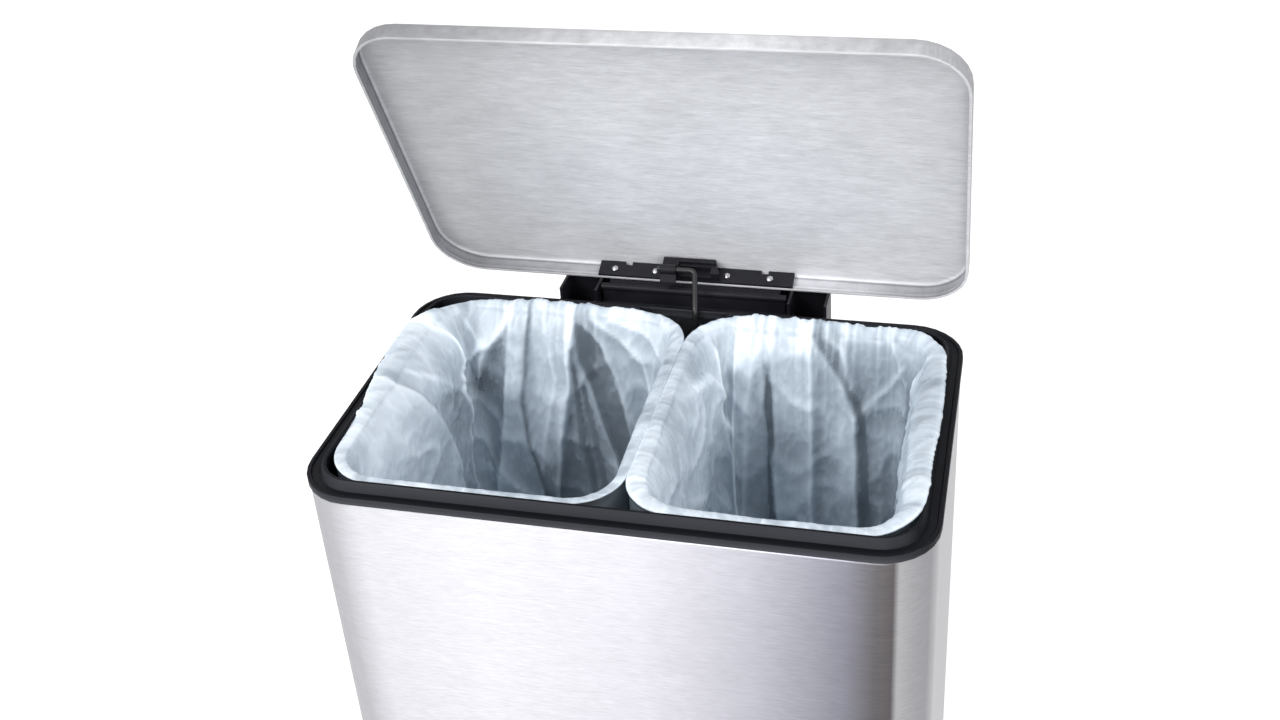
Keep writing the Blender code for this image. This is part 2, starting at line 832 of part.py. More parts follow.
def make_lid_bracket(lid_pivot):
    """Notched strip across the hem with a raised block, held off the skirt by a boss at each rivet."""
    low = rim_plane + bracket_low
    high = low + bracket_height
    half = bracket_half_length
    outline = [(-half, low), (half, low), (half, high)]
    for x in (bracket_notch_x, -bracket_notch_x):
        notch_low = high - bracket_notch_depth
        near, far = x + bracket_notch_width / 2, x - bracket_notch_width / 2
        outline += [(near, high), (near, notch_low), (far, notch_low), (far, high)]
    outline.append((-half, high))
    middle = -(bracket_face + bracket_back) / 2
    bracket = plate("lid_bracket", [outline], bracket_thickness, BLACK_PLASTIC, "y", middle)
    block_outline = [
        (block_left, low + block_margin), (block_right + block_slant, low + block_margin),
        (block_right, high), (block_left, high),
    ]
    block_back = bracket_face + bracket_thickness / 2
    block_middle = -(block_face + block_back) / 2
    block_depth = block_back - block_face
    block = plate("bracket_block", [block_outline], block_depth, BLACK_PLASTIC, "y", block_middle)
    strap_right = rod_x - strap_offset + strap_width / 2
    recess = box(
        "block_recess", (strap_right + block_margin, block_face - overrun, low - overrun),
        (block_right - block_end_wall, block_face + block_recess_depth, low + block_recess_height),
        BLACK_PLASTIC,
    )
    work(block, recess)
    work(bracket, block, "UNION")
    for number, x in enumerate(rivet_xs()):
        place = (x, rim_plane + rivet_rise)
        boss = cylinder(
            f"rivet_boss_{number}", "y", place, rivet_boss_radius, bracket_face + bracket_thickness / 2,
            skirt_inside - seat_gap, BLACK_PLASTIC, sides=16,
        )
        work(bracket, boss, "UNION")
    for number, x in enumerate(rivet_xs()):
        hole = cylinder(
            f"bracket_rivet_hole_{number}", "y", (x, rim_plane + rivet_rise), rivet_radius + running_gap,
            bracket_face - overrun * 2, skirt_inside + overrun, BLACK_PLASTIC, sides=12,
        )
        work(bracket, hole)
    hang(bracket, lid_pivot)
    return bracket


def make_rivets(lid_pivot):
    """Domed rivets through bracket, skirt and leaf."""
    for number, x in enumerate(rivet_xs(), start=1):
        front = bracket_face - seat_gap
        back = lid_back + seat_gap + hinge_leaf + seat_gap
        length = back - front
        profile = [
            (0, length + rivet_head), (rivet_head_radius / 2, length + rivet_dome),
            (rivet_head_radius, length), (rivet_radius, length), (rivet_radius, 0),
            (rivet_head_radius, 0), (rivet_head_radius / 2, -rivet_dome), (0, -rivet_head),
        ]
        place = (x, front, rim_plane + rivet_rise)
        rivet = turned(f"rivet_{number}", profile, place, (0, 1, 0), BRIGHT_METAL, 12)
        hang(rivet, lid_pivot)


eye_y = hinge_y - eye_forward
eye_z = hinge_z + eye_rise


def make_rod_clip(lid_pivot):
    """Bar along the bracket's block, with a leg whose eye holds the rod and a tail over the rim."""
    back = block_face - seat_gap
    face = back - strap_thickness
    low, high = rim_plane + strap_low, rim_plane + strap_high
    middle = rod_x - strap_offset
    outline = [(face, low), (back, low), (back, high), (face, high)]
    strap = plate("rod_clip", [outline], strap_width, BLACK_PLASTIC, "x", middle)
    bar = box(
        "strap_bar", (middle, face, high - strap_bar_height), (block_right, back, high), BLACK_PLASTIC
    )
    work(strap, bar, "UNION")
    root = Vector(((face + back) / 2, low + strap_thickness))
    eye = Vector((eye_y, eye_z))
    tail = eye + Vector((strap_tail_back, -strap_tail_drop))
    for name, start, end in (("strap_leg", root, eye), ("strap_tail", eye, tail)):
        across = (end - start).normalized()
        across = Vector((-across.y, across.x)) * strap_thickness / 2
        outline = [start - across, end - across, end + across, start + across]
        work(strap, plate(name, [outline], strap_width, BLACK_PLASTIC, "x", middle), "UNION")
    left, right = middle - strap_width / 2, middle + strap_width / 2
    work(strap, cylinder("strap_eye", "x", eye, eye_radius, left, right, BLACK_PLASTIC), "UNION")
    bore = cylinder(
        "strap_bore", "x", eye, wire_radius + running_gap, left - overrun, right + overrun, BLACK_PLASTIC
    )
    work(strap, bore)
    hang(strap, lid_pivot)
    return strap


# Push rod, drawn about its eye as it hangs with the lid open
def bend_between(before, corner, after, radius, steps):
    """Points of a rounded corner on a bent wire."""
    towards, away = (before - corner).normalized(), (after - corner).normalized()
    half = towards.angle(away) / 2
    reach = radius / math.tan(half)
    centre = corner + (towards + away).normalized() * radius / math.sin(half)
    start, end = corner + towards * reach, corner + away * reach
    points = []
    for step in range(steps + 1):
        spoke = (start - centre).normalized().slerp((end - centre).normalized(), step / steps)
        points.append(centre + spoke * radius)
    return points


def open_eye():
    """Where the eye stands with the lid open."""
    turn = Matrix.Rotation(-lid_open_angle, 2)
    return Vector((hinge_y, hinge_z)) + turn @ Vector((-eye_forward, eye_rise))


def make_push_rod(rod_pivot):
    eye = open_eye()
    left = -(strap_offset + strap_width / 2 + hook_end)
    start = Vector((left, 0, 0))
    corner = Vector((-hook_side, 0, 0))
    knee = Vector((0, -knee_forward, -knee_drop))
    centre = Vector((0, loop_centre_y - eye.x, loop_centre_z - eye.y))
    shank = centre + Vector((0, loop_half_width, 0))
    points = [start] + bend_between(start, corner, knee, hook_bend, 4)
    points += bend_between(corner, knee, shank, knee_bend, 3)
    for step in range(loop_steps + 1):
        angle = -loop_turn * step / loop_steps
        reach = Vector((0, loop_half_width * math.cos(angle), loop_half_height * math.sin(angle)))
        points.append(centre + reach)
    curve = bpy.data.curves.new("push_rod", "CURVE")
    curve.dimensions = "3D"
    curve.bevel_depth = wire_radius
    curve.bevel_resolution = wire_steps
    curve.use_fill_caps = True
    spline = curve.splines.new("POLY")
    spline.points.add(len(points) - 1)
    for point, place in zip(spline.points, points):
        point.co = (*place, 1)
    rod = curve_to_mesh("push_rod", curve, AXES["z"], 0, BLACK_WIRE)
    rod.location = (rod_x, eye_y, eye_z)
    hang(rod, rod_pivot)
    return rod


# Pedal lever, drawn pressed down as it is with the lid open
def lever_outline(top_drop, bottom_drop, clear_fork):
    """Side outline of the lever, with its top and bottom edges lowered for the inner cut."""
    front_top = lever_front_bottom + lever_front_depth - top_drop
    front_low = lever_front_bottom - bottom_drop
    hub_top = axle_z + lever_hub_rise - top_drop
    hub_low = axle_z - lever_hub_rise - bottom_drop
    end_y = lever_pin_y + lever_eye_radius
    top = [(-lever_front, front_top), (-lever_bend_y, front_top), (axle_y, hub_top)]
    if clear_fork:
        rise = lever_pin_z + lever_eye_radius + overrun
        share = (fork_open_y - axle_y) / (lever_pin_y - axle_y)
        tail_top = lever_pin_z + lever_eye_radius - top_drop
        fork_z = hub_top + share * (tail_top - hub_top)
        top += [(fork_open_y, fork_z), (fork_open_y, rise), (end_y + overrun, rise)]
        low_end = (end_y + overrun, lever_pin_z - lever_eye_radius - bottom_drop)
        return top + [low_end, (axle_y, hub_low), (-lever_bend_y, front_low), (-lever_front, front_low)]
    tip = arc((lever_pin_y, lever_pin_z), lever_eye_radius, quarter, -quarter, 8)
    return top + tip + [(axle_y, hub_low), (-lever_bend_y, front_low), (-lever_front, front_low)]


def make_pedal_lever(pedal_pivot):
    """Pressed channel, open below and forked at the back, with a hub tube on the axle."""
    lever = plate("pedal_lever", [lever_outline(0, 0, False)], lever_width, ZINC_STEEL, "x")
    inner_width = lever_width - 2 * lever_sheet
    inner_outline = lever_outline(lever_sheet, overrun, True)
    inside = plate("lever_inside", [inner_outline], inner_width, ZINC_STEEL, "x")
    work(lever, inside)
    half = lever_width / 2 - lever_sheet / 2
    work(lever, cylinder("lever_hub", "x", (axle_y, axle_z), hub_radius, -half, half, ZINC_STEEL), "UNION")
    reach = lever_width / 2 + overrun
    bores = (
        ("hub_bore", (axle_y, axle_z), axle_radius),
        ("fork_bore", (lever_pin_y, lever_pin_z), lever_pin_radius),
    )
    for name, centre, radius in bores:
        work(lever, cylinder(name, "x", centre, radius + running_gap, -reach, reach, ZINC_STEEL))
    hang(lever, pedal_pivot)
    return lever


def make_lever_pin(pedal_pivot):
    seat = lever_width / 2 + seat_gap
    profile = [
        (0, seat + lever_pin_head), (lever_pin_head_radius, seat + lever_pin_head),
        (lever_pin_head_radius, seat),
        (lever_pin_radius, seat), (lever_pin_radius, -seat), (lever_pin_head_radius, -seat),
        (lever_pin_head_radius, -seat - lever_pin_head), (0, -seat - lever_pin_head),
    ]
    hang(turned("lever_pin", profile, (0, lever_pin_y, lever_pin_z), (1, 0, 0), BRIGHT_METAL), pedal_pivot)


damper_start = channel_rib_x + base_rib / 2 + axle_boss_length + seat_gap
damper_end = damper_start + damper_length
clip_start = damper_start


def make_axle():
    """Axle with a spring clip outside the left boss and a damper outside the right one."""
    left = clip_start + clip_thickness + axle_end
    cylinder("pedal_axle", "x", (axle_y, axle_z), axle_radius, -left, damper_end + axle_end, BRIGHT_METAL)
    bore = axle_radius + running_gap
    spacer_start = lever_width / 2 + seat_gap
    spacer_end = channel_rib_x - base_rib / 2 - seat_gap
    rings_on_axle = (
        ("axle_clip", -clip_start - clip_thickness, -clip_start, clip_radius, BRIGHT_METAL),
        ("axle_spacer_left", -spacer_end, -spacer_start, spacer_radius, BLACK_PLASTIC),
        ("axle_spacer_right", spacer_start, spacer_end, spacer_radius, BLACK_PLASTIC),
    )
    for name, start, end, radius, surface in rings_on_axle:
        washer = cylinder(name, "x", (axle_y, axle_z), radius, start, end, surface)
        hole = cylinder(
            name + "_bore", "x", (axle_y, axle_z), bore, start - overrun, end + overrun, surface
        )
        work(washer, hole)
    damper = cylinder(
        "rotary_damper", "x", (axle_y, axle_z), damper_radius, damper_start, damper_end, BLACK_PLASTIC,
    )
    ear = box(
        "damper_ears", (damper_start, axle_y - damper_ear, axle_z - damper_ear_thickness),
        (damper_start + damper_ear_thickness, axle_y + damper_ear, axle_z + damper_ear_thickness),
        BLACK_PLASTIC,
    )
    work(damper, ear, "UNION")
    through = cylinder(
        "damper_bore", "x", (axle_y, axle_z), bore, damper_start - overrun, damper_end + overrun,
        BLACK_PLASTIC,
    )
    work(damper, through)


def make_pedal(pedal_pivot):
    """Steel foot plate on the lever's front end, with a ribbed rubber pad."""
    low = lever_front_bottom + lever_front_depth + seat_gap
    middle = -pedal_front + pedal_length / 2
    outline = rounded_outline(pedal_width, pedal_length, pedal_corner, (0, middle))
    plate_middle = low + pedal_thickness / 2
    foot_plate = plate("pedal_plate", [outline], pedal_thickness, BRUSHED_STEEL, "z", plate_middle)
    hang(foot_plate, pedal_pivot)
    pad_low = low + pedal_thickness + seat_gap
    pad_top = pad_low + pad_thickness
    pad_width, pad_length = pedal_width - 2 * pad_margin, pedal_length - 2 * pad_margin
    outline = rounded_outline(pad_width, pad_length, pedal_corner - pad_margin, (0, middle))
    pad = plate("pedal_pad", [outline], pad_thickness, RUBBER, "z", (pad_low + pad_top) / 2)
    pitch = pad_length / (pad_ribs + 1)
    rib_reach = pad_width / 2 - pedal_corner
    for number in range(pad_ribs):
        y = middle - pad_length / 2 + pitch * (number + 1)
        rib = box(
            f"pad_rib_{number}", (-rib_reach, y - pad_rib_width / 2, pad_top - pad_rib_height),
            (rib_reach, y + pad_rib_width / 2, pad_top + pad_rib_height), RUBBER,
        )
        work(pad, rib, "UNION")
    hang(pad, pedal_pivot)


# Buckets and their bags
bucket_inside = body_width / 2 - collar_inset - bucket_side_gap
bucket_top = body_top + bucket_rim_height
bucket_bottom = tray_top + seat_gap


def bucket_span(side):
    """Left and right edges of a bucket's rim."""
    if side == "left":
        return -bucket_inside, division_x - bucket_centre_gap / 2
    return division_x + bucket_centre_gap / 2, bucket_inside


def bucket_profile(lift, lip_bottom):
    """Inside wall, rim and outer lip of a bucket, moved lift off its surface."""
    floor = bucket_bottom + bucket_wall + lift
    wall_top_inset = bucket_rim_width + lift
    wall_foot_inset = bucket_rim_width + bucket_taper + lift
    turn = bucket_rim_radius
    inner_edge = arc((wall_top_inset - turn, bucket_top + lift - turn), turn, 0, quarter, 1)
    outer_edge = arc((turn - lift, bucket_top + lift - turn), turn, quarter, half_turn, 1)
    floor_edge = [
        (wall_foot_inset + bucket_floor_radius, floor),
        (wall_foot_inset + bucket_floor_bevel, floor + bucket_floor_bevel),
        (wall_foot_inset, floor + bucket_floor_radius),
    ]
    return floor_edge + inner_edge + outer_edge + [(-lift, lip_bottom)]


def make_bucket(side, pivot_empty):
    left, right = bucket_span(side)
    levels = rings(
        right - left, bucket_depth, bucket_corner, bucket_profile(0, bucket_top - bucket_lip),
        ((left + right) / 2, bucket_y), bucket_corner_steps,
    )
    bucket = loft(f"{side}_bucket", levels, BUCKET_PLASTIC, start=True)
    solidify(bucket, bucket_wall, 1)
    hang(bucket, pivot_empty)


def make_bag(side, pivot_empty):
    left, right = bucket_span(side)
    levels = rings(
        right - left, bucket_depth, bucket_corner, bucket_profile(film_gap, bucket_top - cuff_drop),
        ((left + right) / 2, bucket_y), bucket_corner_steps,
    )
    bag = loft(f"{side}_bag", levels, BAG_FILM, start=True)
    solidify(bag, film, -1)
    hang(bag, pivot_empty)


# Assembly
lid_hinge = pivot("lid_hinge", (0, hinge_y, hinge_z))
rod_hinge = pivot("rod_hinge", (rod_x, eye_y, eye_z), lid_hinge)
pedal_hinge = pivot("pedal_hinge", (0, axle_y, axle_z))

make_body_shell()
make_top_collar()
make_base()
make_feet()
make_floor_tray()
make_hinge_housing()
make_hinge_pins()
make_housing_screws()
make_lid_shell(lid_hinge)
make_hinge_plate(lid_hinge)
make_lid_bracket(lid_hinge)
make_rivets(lid_hinge)
make_rod_clip(lid_hinge)
make_push_rod(rod_hinge)
make_pedal_lever(pedal_hinge)
make_lever_pin(pedal_hinge)
make_axle()
make_pedal(pedal_hinge)
for bucket_side in ("left", "right"):
    bucket_lift = pivot(f"{bucket_side}_bucket_lift", (0, 0, bucket_bottom))
    bag_lift = pivot(f"{bucket_side}_bag_lift", (0, 0, bucket_top), bucket_lift)
    make_bucket(bucket_side, bucket_lift)
    make_bag(bucket_side, bag_lift)

lid_hinge.rotation_euler.x = -lid_open_angle
rod_hinge.rotation_euler.x = lid_open_angle
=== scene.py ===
import json
import math

import bpy
import numpy as np
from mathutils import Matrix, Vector, noise

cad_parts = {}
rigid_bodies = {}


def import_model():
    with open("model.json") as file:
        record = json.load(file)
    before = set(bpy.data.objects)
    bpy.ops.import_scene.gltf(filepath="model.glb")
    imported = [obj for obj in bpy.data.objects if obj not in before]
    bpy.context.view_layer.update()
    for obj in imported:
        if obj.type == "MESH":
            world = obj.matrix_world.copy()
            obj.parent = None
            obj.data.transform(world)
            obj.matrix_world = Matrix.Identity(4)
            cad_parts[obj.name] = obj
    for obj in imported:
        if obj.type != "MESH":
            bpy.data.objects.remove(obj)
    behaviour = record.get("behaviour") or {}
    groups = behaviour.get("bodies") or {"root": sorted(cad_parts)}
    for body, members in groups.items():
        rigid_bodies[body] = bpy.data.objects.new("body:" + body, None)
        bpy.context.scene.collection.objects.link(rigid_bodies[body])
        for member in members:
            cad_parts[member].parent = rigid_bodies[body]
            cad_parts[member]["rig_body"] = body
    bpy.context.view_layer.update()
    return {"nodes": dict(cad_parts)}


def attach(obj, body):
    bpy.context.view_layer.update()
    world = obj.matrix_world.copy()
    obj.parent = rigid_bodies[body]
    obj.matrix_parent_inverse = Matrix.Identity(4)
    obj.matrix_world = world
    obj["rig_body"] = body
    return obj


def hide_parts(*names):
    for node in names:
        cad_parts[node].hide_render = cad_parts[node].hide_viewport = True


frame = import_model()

nodes = frame["nodes"]


# Camera
# A long lens from above the right front corner, tilted a little, for a picture 1280 by 720.
camera_place = (0.3426, -1.1631, 1.4505)
camera_turn_deg = (59.490, 3.540, 13.765)
camera_lens = 42.639
camera_shift = (-0.0079, -0.0552)

camera_data = bpy.data.cameras.new("camera")
camera_data.lens = camera_lens
camera_data.shift_x, camera_data.shift_y = camera_shift
camera = bpy.data.objects.new("camera", camera_data)
camera.location = camera_place
camera.rotation_euler = [math.radians(turn) for turn in camera_turn_deg]
bpy.context.scene.collection.objects.link(camera)
bpy.context.scene.camera = camera


# Floor
# A plain pale studio floor that runs out to white, with the bin's shadow on it.


class Flow:
    """One output of a finish's nodes, which sums and products can be written with."""

    def __init__(self, finish, socket):
        self.finish = finish
        self.socket = socket

    def math(self, operation, first, second=0.0):
        return self.finish.node("ShaderNodeMath", {"operation": operation}, {0: first, 1: second})

    def __add__(self, other):
        return self.math("ADD", self, other)

    def __radd__(self, other):
        return self.math("ADD", other, self)

    def __sub__(self, other):
        return self.math("SUBTRACT", self, other)

    def __rsub__(self, other):
        return self.math("SUBTRACT", other, self)

    def __mul__(self, other):
        return self.math("MULTIPLY", self, other)

    def __rmul__(self, other):
        return self.math("MULTIPLY", other, self)

    def __abs__(self):
        return self.math("ABSOLUTE", self)


class Finish:
    """A material in the making: its nodes, and its principled shader."""

    cloud_range = (0.3, 0.7)

    def __init__(self, name):
        self.material = bpy.data.materials.new(name)
        self.material.use_nodes = True
        self.nodes = self.material.node_tree.nodes
        self.links = self.material.node_tree.links
        self.shader = self.nodes["Principled BSDF"]

    def set(self, target, name, value):
        socket = target.inputs[name]
        if isinstance(value, Flow):
            self.links.new(value.socket, socket)
        elif isinstance(value, tuple) and len(value) == 3 and socket.type == "RGBA":
            socket.default_value = (*value, 1.0)
        else:
            socket.default_value = value

    def node(self, kind, settings=None, sockets=None, output=0):
        made = self.nodes.new(kind)
        for name, value in (settings or {}).items():
            if name == "stops":
                stops = made.color_ramp.elements
                while len(stops) < len(value):
                    stops.new(1.0)
                for stop, (place, colour) in zip(stops, value):
                    stop.position = place
                    stop.color = (*colour, 1.0)
            else:
                setattr(made, name, value)
        for name, value in (sockets or {}).items():
            self.set(made, name, value)
        return Flow(self, made.outputs[output])

    def surface(self, **values):
        for name, value in values.items():
            self.set(self.shader, name.replace("_", " "), value)

    def place(self):
        """A place on the piece, in the piece's own metres."""
        return self.node("ShaderNodeTexCoord", output="Object")

    def normal(self):
        """The way that the surface faces, in the room."""
        return self.node("ShaderNodeNewGeometry", output="Normal")

    def along(self, place, direction):
        """How far a place lies along a direction, in metres."""
        sockets = {0: place, 1: direction}
        return self.node("ShaderNodeVectorMath", {"operation": "DOT_PRODUCT"}, sockets, "Value")

    def cloud(self, place, scale=1.0, detail=2.0, roughness=0.5):
        """Soft noise, nearly all of it within the cloud range."""
        sockets = {"Vector": place, "Scale": scale, "Detail": detail, "Roughness": roughness}
        return self.node("ShaderNodeTexNoise", {}, sockets, "Fac")

    def levels(self, value, low, high, to_low=0.0, to_high=1.0):
        """The value's range from low to high, spread over another and held within it."""
        sockets = {"Value": value, "From Min": low, "From Max": high}
        sockets.update({"To Min": to_low, "To Max": to_high})
        return self.node("ShaderNodeMapRange", {}, sockets)

    def spread(self, cloud, to_low=0.0, to_high=1.0):
        """Soft noise spread over a range of its own."""
        return self.levels(cloud, *self.cloud_range, to_low, to_high)

    def ramp(self, share, stops):
        """The colours of the stops, by a share from 0 to 1."""
        return self.node("ShaderNodeValToRGB", {"stops": stops}, {0: share})

    def blend(self, share, first, second, kind="MIX"):
        """Two colours blended by a share."""
        settings = {"data_type": "RGBA", "blend_type": kind}
        return self.node("ShaderNodeMix", settings, {0: share, 6: first, 7: second}, 2)

    def tint(self, tone, other):
        """One colour times another."""
        return self.blend(1.0, tone, other, "MULTIPLY")

    def shade(self, tone, level):
        """A colour times a plain number that varies."""
        return self.tint(tone, self.node("ShaderNodeCombineColor", {}, {0: level, 1: level, 2: level}))

    def bump(self, height, depth, strength):
        sockets = {"Height": height, "Distance": depth, "Strength": strength}
        self.surface(Normal=self.node("ShaderNodeBump", {}, sockets, "Normal"))


floor_size = 12.0
floor_colour = (0.80, 0.80, 0.80)
floor_roughness = 0.9
floor_glow_colour = (1.0, 1.0, 1.0)
floor_glow = 0.44
floor_sheen_glow = 0.10

bpy.ops.object.select_all(action="DESELECT")
bpy.ops.mesh.primitive_plane_add(size=floor_size)
floor = bpy.context.object
floor.name = "floor"
floor_finish = Finish("pale_floor")
seen = floor_finish.node("ShaderNodeLightPath", output="Is Camera Ray") * floor_glow
mirrored = floor_finish.node("ShaderNodeLightPath", output="Is Glossy Ray") * floor_sheen_glow
floor_finish.surface(Base_Color=floor_colour, Roughness=floor_roughness)
floor_finish.surface(Emission_Color=floor_glow_colour, Emission_Strength=seen + mirrored)
floor.data.materials.append(floor_finish.material)


# Light
# A white room, with one wide soft lamp above the left front, a weaker one on the right and one
# low in front. Each lamp has its place, its width and its power.
room_colour = (1.0, 1.0, 1.0, 1.0)
room_level = 0.72
seen_level = 1.0
lamps = {
    "key_lamp": ((-1.6, -1.9, 2.6), 1.6, 54.0),
    "fill_lamp": ((2.2, -0.9, 1.9), 1.4, 16.0),
    "front_lamp": ((0.5, -2.9, 0.9), 1.8, 34.0),
}
lamp_target = Vector((0.0, 0.0, 0.55))

world = bpy.data.worlds.new("studio")
world.use_nodes = True
bpy.context.scene.world = world
world_nodes, world_links = world.node_tree.nodes, world.node_tree.links
background = world_nodes["Background"]
background.inputs["Color"].default_value = room_colour
ray = world_nodes.new("ShaderNodeLightPath")
level = ray.outputs["Is Camera Ray"]
for kind in ("Is Glossy Ray", "Is Transmission Ray"):
    both = world_nodes.new("ShaderNodeMath")
    both.operation = "MAXIMUM"
    world_links.new(level, both.inputs[0])
    world_links.new(ray.outputs[kind], both.inputs[1])
    level = both.outputs[0]
spread = world_nodes.new("ShaderNodeMapRange")
spread.inputs["To Min"].default_value = room_level
spread.inputs["To Max"].default_value = seen_level
world_links.new(level, spread.inputs["Value"])
world_links.new(spread.outputs[0], background.inputs["Strength"])

for name, (place, size, power) in lamps.items():
    lamp_data = bpy.data.lights.new(name, "AREA")
    lamp_data.shape = "DISK"
    lamp_data.size = size
    lamp_data.energy = power
    lamp = bpy.data.objects.new(name, lamp_data)
    lamp.location = place
    lamp.rotation_euler = (lamp_target - Vector(place)).to_track_quat("-Z", "Y").to_euler()
    bpy.context.scene.collection.objects.link(lamp)

bpy.context.scene.view_settings.view_transform = "Standard"


# Steel body
# A stainless sheet wrapped round the bin, its grain brushed along the width. A painted reflection
# runs across the front from bright on the left to grey on the right, with a dark painted streak
# beside the right corner.
join_gap = 0.00001
flat_turn_deg = 0.3
edge_segments = 2

# Each grain of the brushing has its scale along the sheet and across it, its detail and roughness.
brush_grains = (
    (80.0, 1500.0, 3.0, 0.6),
    (50.0, 560.0, 3.0, 0.7),
    (9.0, 90.0, 2.0, 0.5),
)
brush_depth = 0.00005
brush_strength = 0.25

rightward = (1.0, 0.0, 0.0)
frontward = (0.0, -1.0, 0.0)
upward = (0.0, 0.0, 1.0)
ends_of_bin = (-0.30, 0.30)
front_reflection_stops = (
    (0.00, (0.46, 0.46, 0.48)),
    (0.07, (0.50, 0.50, 0.53)),
    (0.12, (0.70, 0.70, 0.74)),
    (0.30, (0.76, 0.755, 0.80)),
    (0.55, (0.67, 0.66, 0.71)),
    (0.72, (0.45, 0.45, 0.50)),
    (0.86, (0.22, 0.22, 0.26)),
    (0.905, (0.12, 0.115, 0.12)),
    (0.930, (0.11, 0.10, 0.105)),
    (0.938, (0.41, 0.41, 0.42)),
    (0.97, (0.34, 0.34, 0.36)),
    (1.00, (0.31, 0.31, 0.33)),
)
front_facing = (0.05, 0.45)
side_tone = (0.60, 0.60, 0.62)
body_line_shades = (0.90, 1.08)
body_streak_shades = (0.95, 1.04)
body_band_shades = (0.98, 1.015)
body_roughness = (0.30, 0.40)


def join_up(node, soft_edge=0.0, sharp_deg=32.0):
    """A copy of a solid with its triangles joined, its edges softened and its curves smooth."""
    source = nodes[node]
    piece = bpy.data.objects.new(node + "_finished", source.data.copy())
    bpy.context.scene.collection.objects.link(piece)
    bpy.ops.object.select_all(action="DESELECT")
    bpy.context.view_layer.objects.active = piece
    piece.select_set(True)
    bpy.ops.object.mode_set(mode="EDIT")
    bpy.ops.mesh.select_all(action="SELECT")
    bpy.ops.mesh.customdata_custom_splitnormals_clear()
    bpy.ops.mesh.remove_doubles(threshold=join_gap)
    bpy.ops.mesh.dissolve_limited(angle_limit=math.radians(flat_turn_deg))
    bpy.ops.object.mode_set(mode="OBJECT")
    bpy.ops.object.shade_smooth_by_angle(angle=math.radians(sharp_deg))
    if soft_edge:
        bevel = piece.modifiers.new("soft_edge", "BEVEL")
        bevel.width = soft_edge
        bevel.segments = edge_segments
        bevel.limit_method = "ANGLE"
        bevel.angle_limit = math.radians(sharp_deg)
        bevel.harden_normals = True
        bpy.ops.object.modifier_apply(modifier=bevel.name)
    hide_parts(node)
    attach(piece, source["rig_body"])
    return piece


def dress(piece, finish):
    """Give a piece its finish."""
    piece.data.materials.clear()
    piece.data.materials.append(finish.material)


def brushed(finish, across):
    """The lines, streaks and bands of a sheet's brushing, which vary quickly along a direction."""
    place = finish.place()
    height = finish.along(place, across)
    flat = finish.node("ShaderNodeSeparateXYZ", {}, {0: place}, "X")
    side = finish.node("ShaderNodeSeparateXYZ", {}, {0: place}, "Y")
    grains = []
    for flat_scale, height_scale, detail, roughness in brush_grains:
        cell = {0: flat * flat_scale, 1: side * flat_scale, 2: height * height_scale}
        stretched = finish.node("ShaderNodeCombineXYZ", {}, cell)
        grains.append(finish.cloud(stretched, detail=detail, roughness=roughness))
    return grains


body_finish = Finish("brushed_body_steel")
lines, streaks, bands = brushed(body_finish, upward)
# The front's painted reflection runs along its width; the sides keep a plain tone.
body_width = body_finish.levels(body_finish.along(body_finish.place(), rightward), *ends_of_bin)
front_painted_reflection = body_finish.ramp(body_width, front_reflection_stops)
front_reflection_share = body_finish.levels(body_finish.along(body_finish.normal(), frontward), *front_facing)
body_tone_and_reflection = body_finish.blend(front_reflection_share, side_tone, front_painted_reflection)
body_grain = body_finish.spread(lines, *body_line_shades)
body_grain = body_grain * body_finish.spread(streaks, *body_streak_shades)
body_grain = body_grain * body_finish.spread(bands, *body_band_shades)
body_finish.surface(
    Base_Color=body_finish.shade(body_tone_and_reflection, body_grain),
    Metallic=1.0,
    Roughness=body_finish.spread(streaks, *body_roughness),
)
body_finish.bump(lines, brush_depth, brush_strength)

dress(join_up("body_shell"), body_finish)


# Collar
# The rim pressed over the body's top edge, moulded in black plastic with a satin finish. A painted
# sheen lies on its front faces, stronger on the lower ones; the rest, its ledge inside too, stays
# deep black.
moulded_grain = {"scale": 1400.0, "detail": 2.0, "roughness": 0.6}
moulded_cloud = {"scale": 18.0, "detail": 4.0, "roughness": 0.6}
moulded_depth = 0.00006
moulded_strength = 0.35
collar_edge = 0.0012
collar_sheen_way = (0.0, -0.94, 0.34)
collar_sheen_facing = (0.55, 0.95)
collar_sheen_patches = (0.85, 1.0)
collar_ledge_heights = (0.598, 0.606)
collar_sheen_by_height = (1.15, 0.50)
collar_tone_and_sheen = ((0.006, 0.0065, 0.009), (0.055, 0.058, 0.068))
collar_roughness = (0.36, 0.48)
collar_specular = 0.08

collar_finish = Finish("satin_black_collar")
collar_place = collar_finish.place()
collar_cloud = collar_finish.cloud(collar_place, **moulded_cloud)
# A painted sheen on the faces turned to the front, more of it on the lower faces.
collar_facing = collar_finish.along(collar_finish.normal(), collar_sheen_way)
collar_painted_sheen = collar_finish.levels(collar_facing, *collar_sheen_facing)
collar_painted_sheen = collar_painted_sheen * collar_finish.spread(collar_cloud, *collar_sheen_patches)
collar_height = collar_finish.along(collar_place, upward)
collar_height = collar_finish.levels(collar_height, *collar_ledge_heights, *collar_sheen_by_height)
collar_finish.surface(
    Base_Color=collar_finish.blend(collar_painted_sheen * collar_height, *collar_tone_and_sheen),
    Roughness=collar_finish.spread(collar_cloud, *collar_roughness),
    Specular_IOR_Level=collar_specular,
)
collar_grain = collar_finish.cloud(collar_place, **moulded_grain)
collar_finish.bump(collar_grain, moulded_depth, moulded_strength)
dress(join_up("top_collar", collar_edge), collar_finish)


# Black mouldings
# The plinth, tray, hinge housing and the other black parts are moulded in the same satin plastic
# with a fine grain, each with its edges softened by a width of its own.
black_tones = ((0.010, 0.010, 0.013), (0.017, 0.017, 0.022))
black_roughness = (0.30, 0.40)
black_specular = 0.16
edge_of_moulding = {
    "base_plinth": 0.0010,
    "floor_tray": 0.0006,
    "hinge_housing": 0.0007,
    "axle_spacer_left": 0.0004,
    "axle_spacer_right": 0.0004,
    "rotary_damper": 0.0006,
    "hinge_plate": 0.0004,
    "lid_bracket": 0.0005,
    "rod_clip": 0.0003,
}

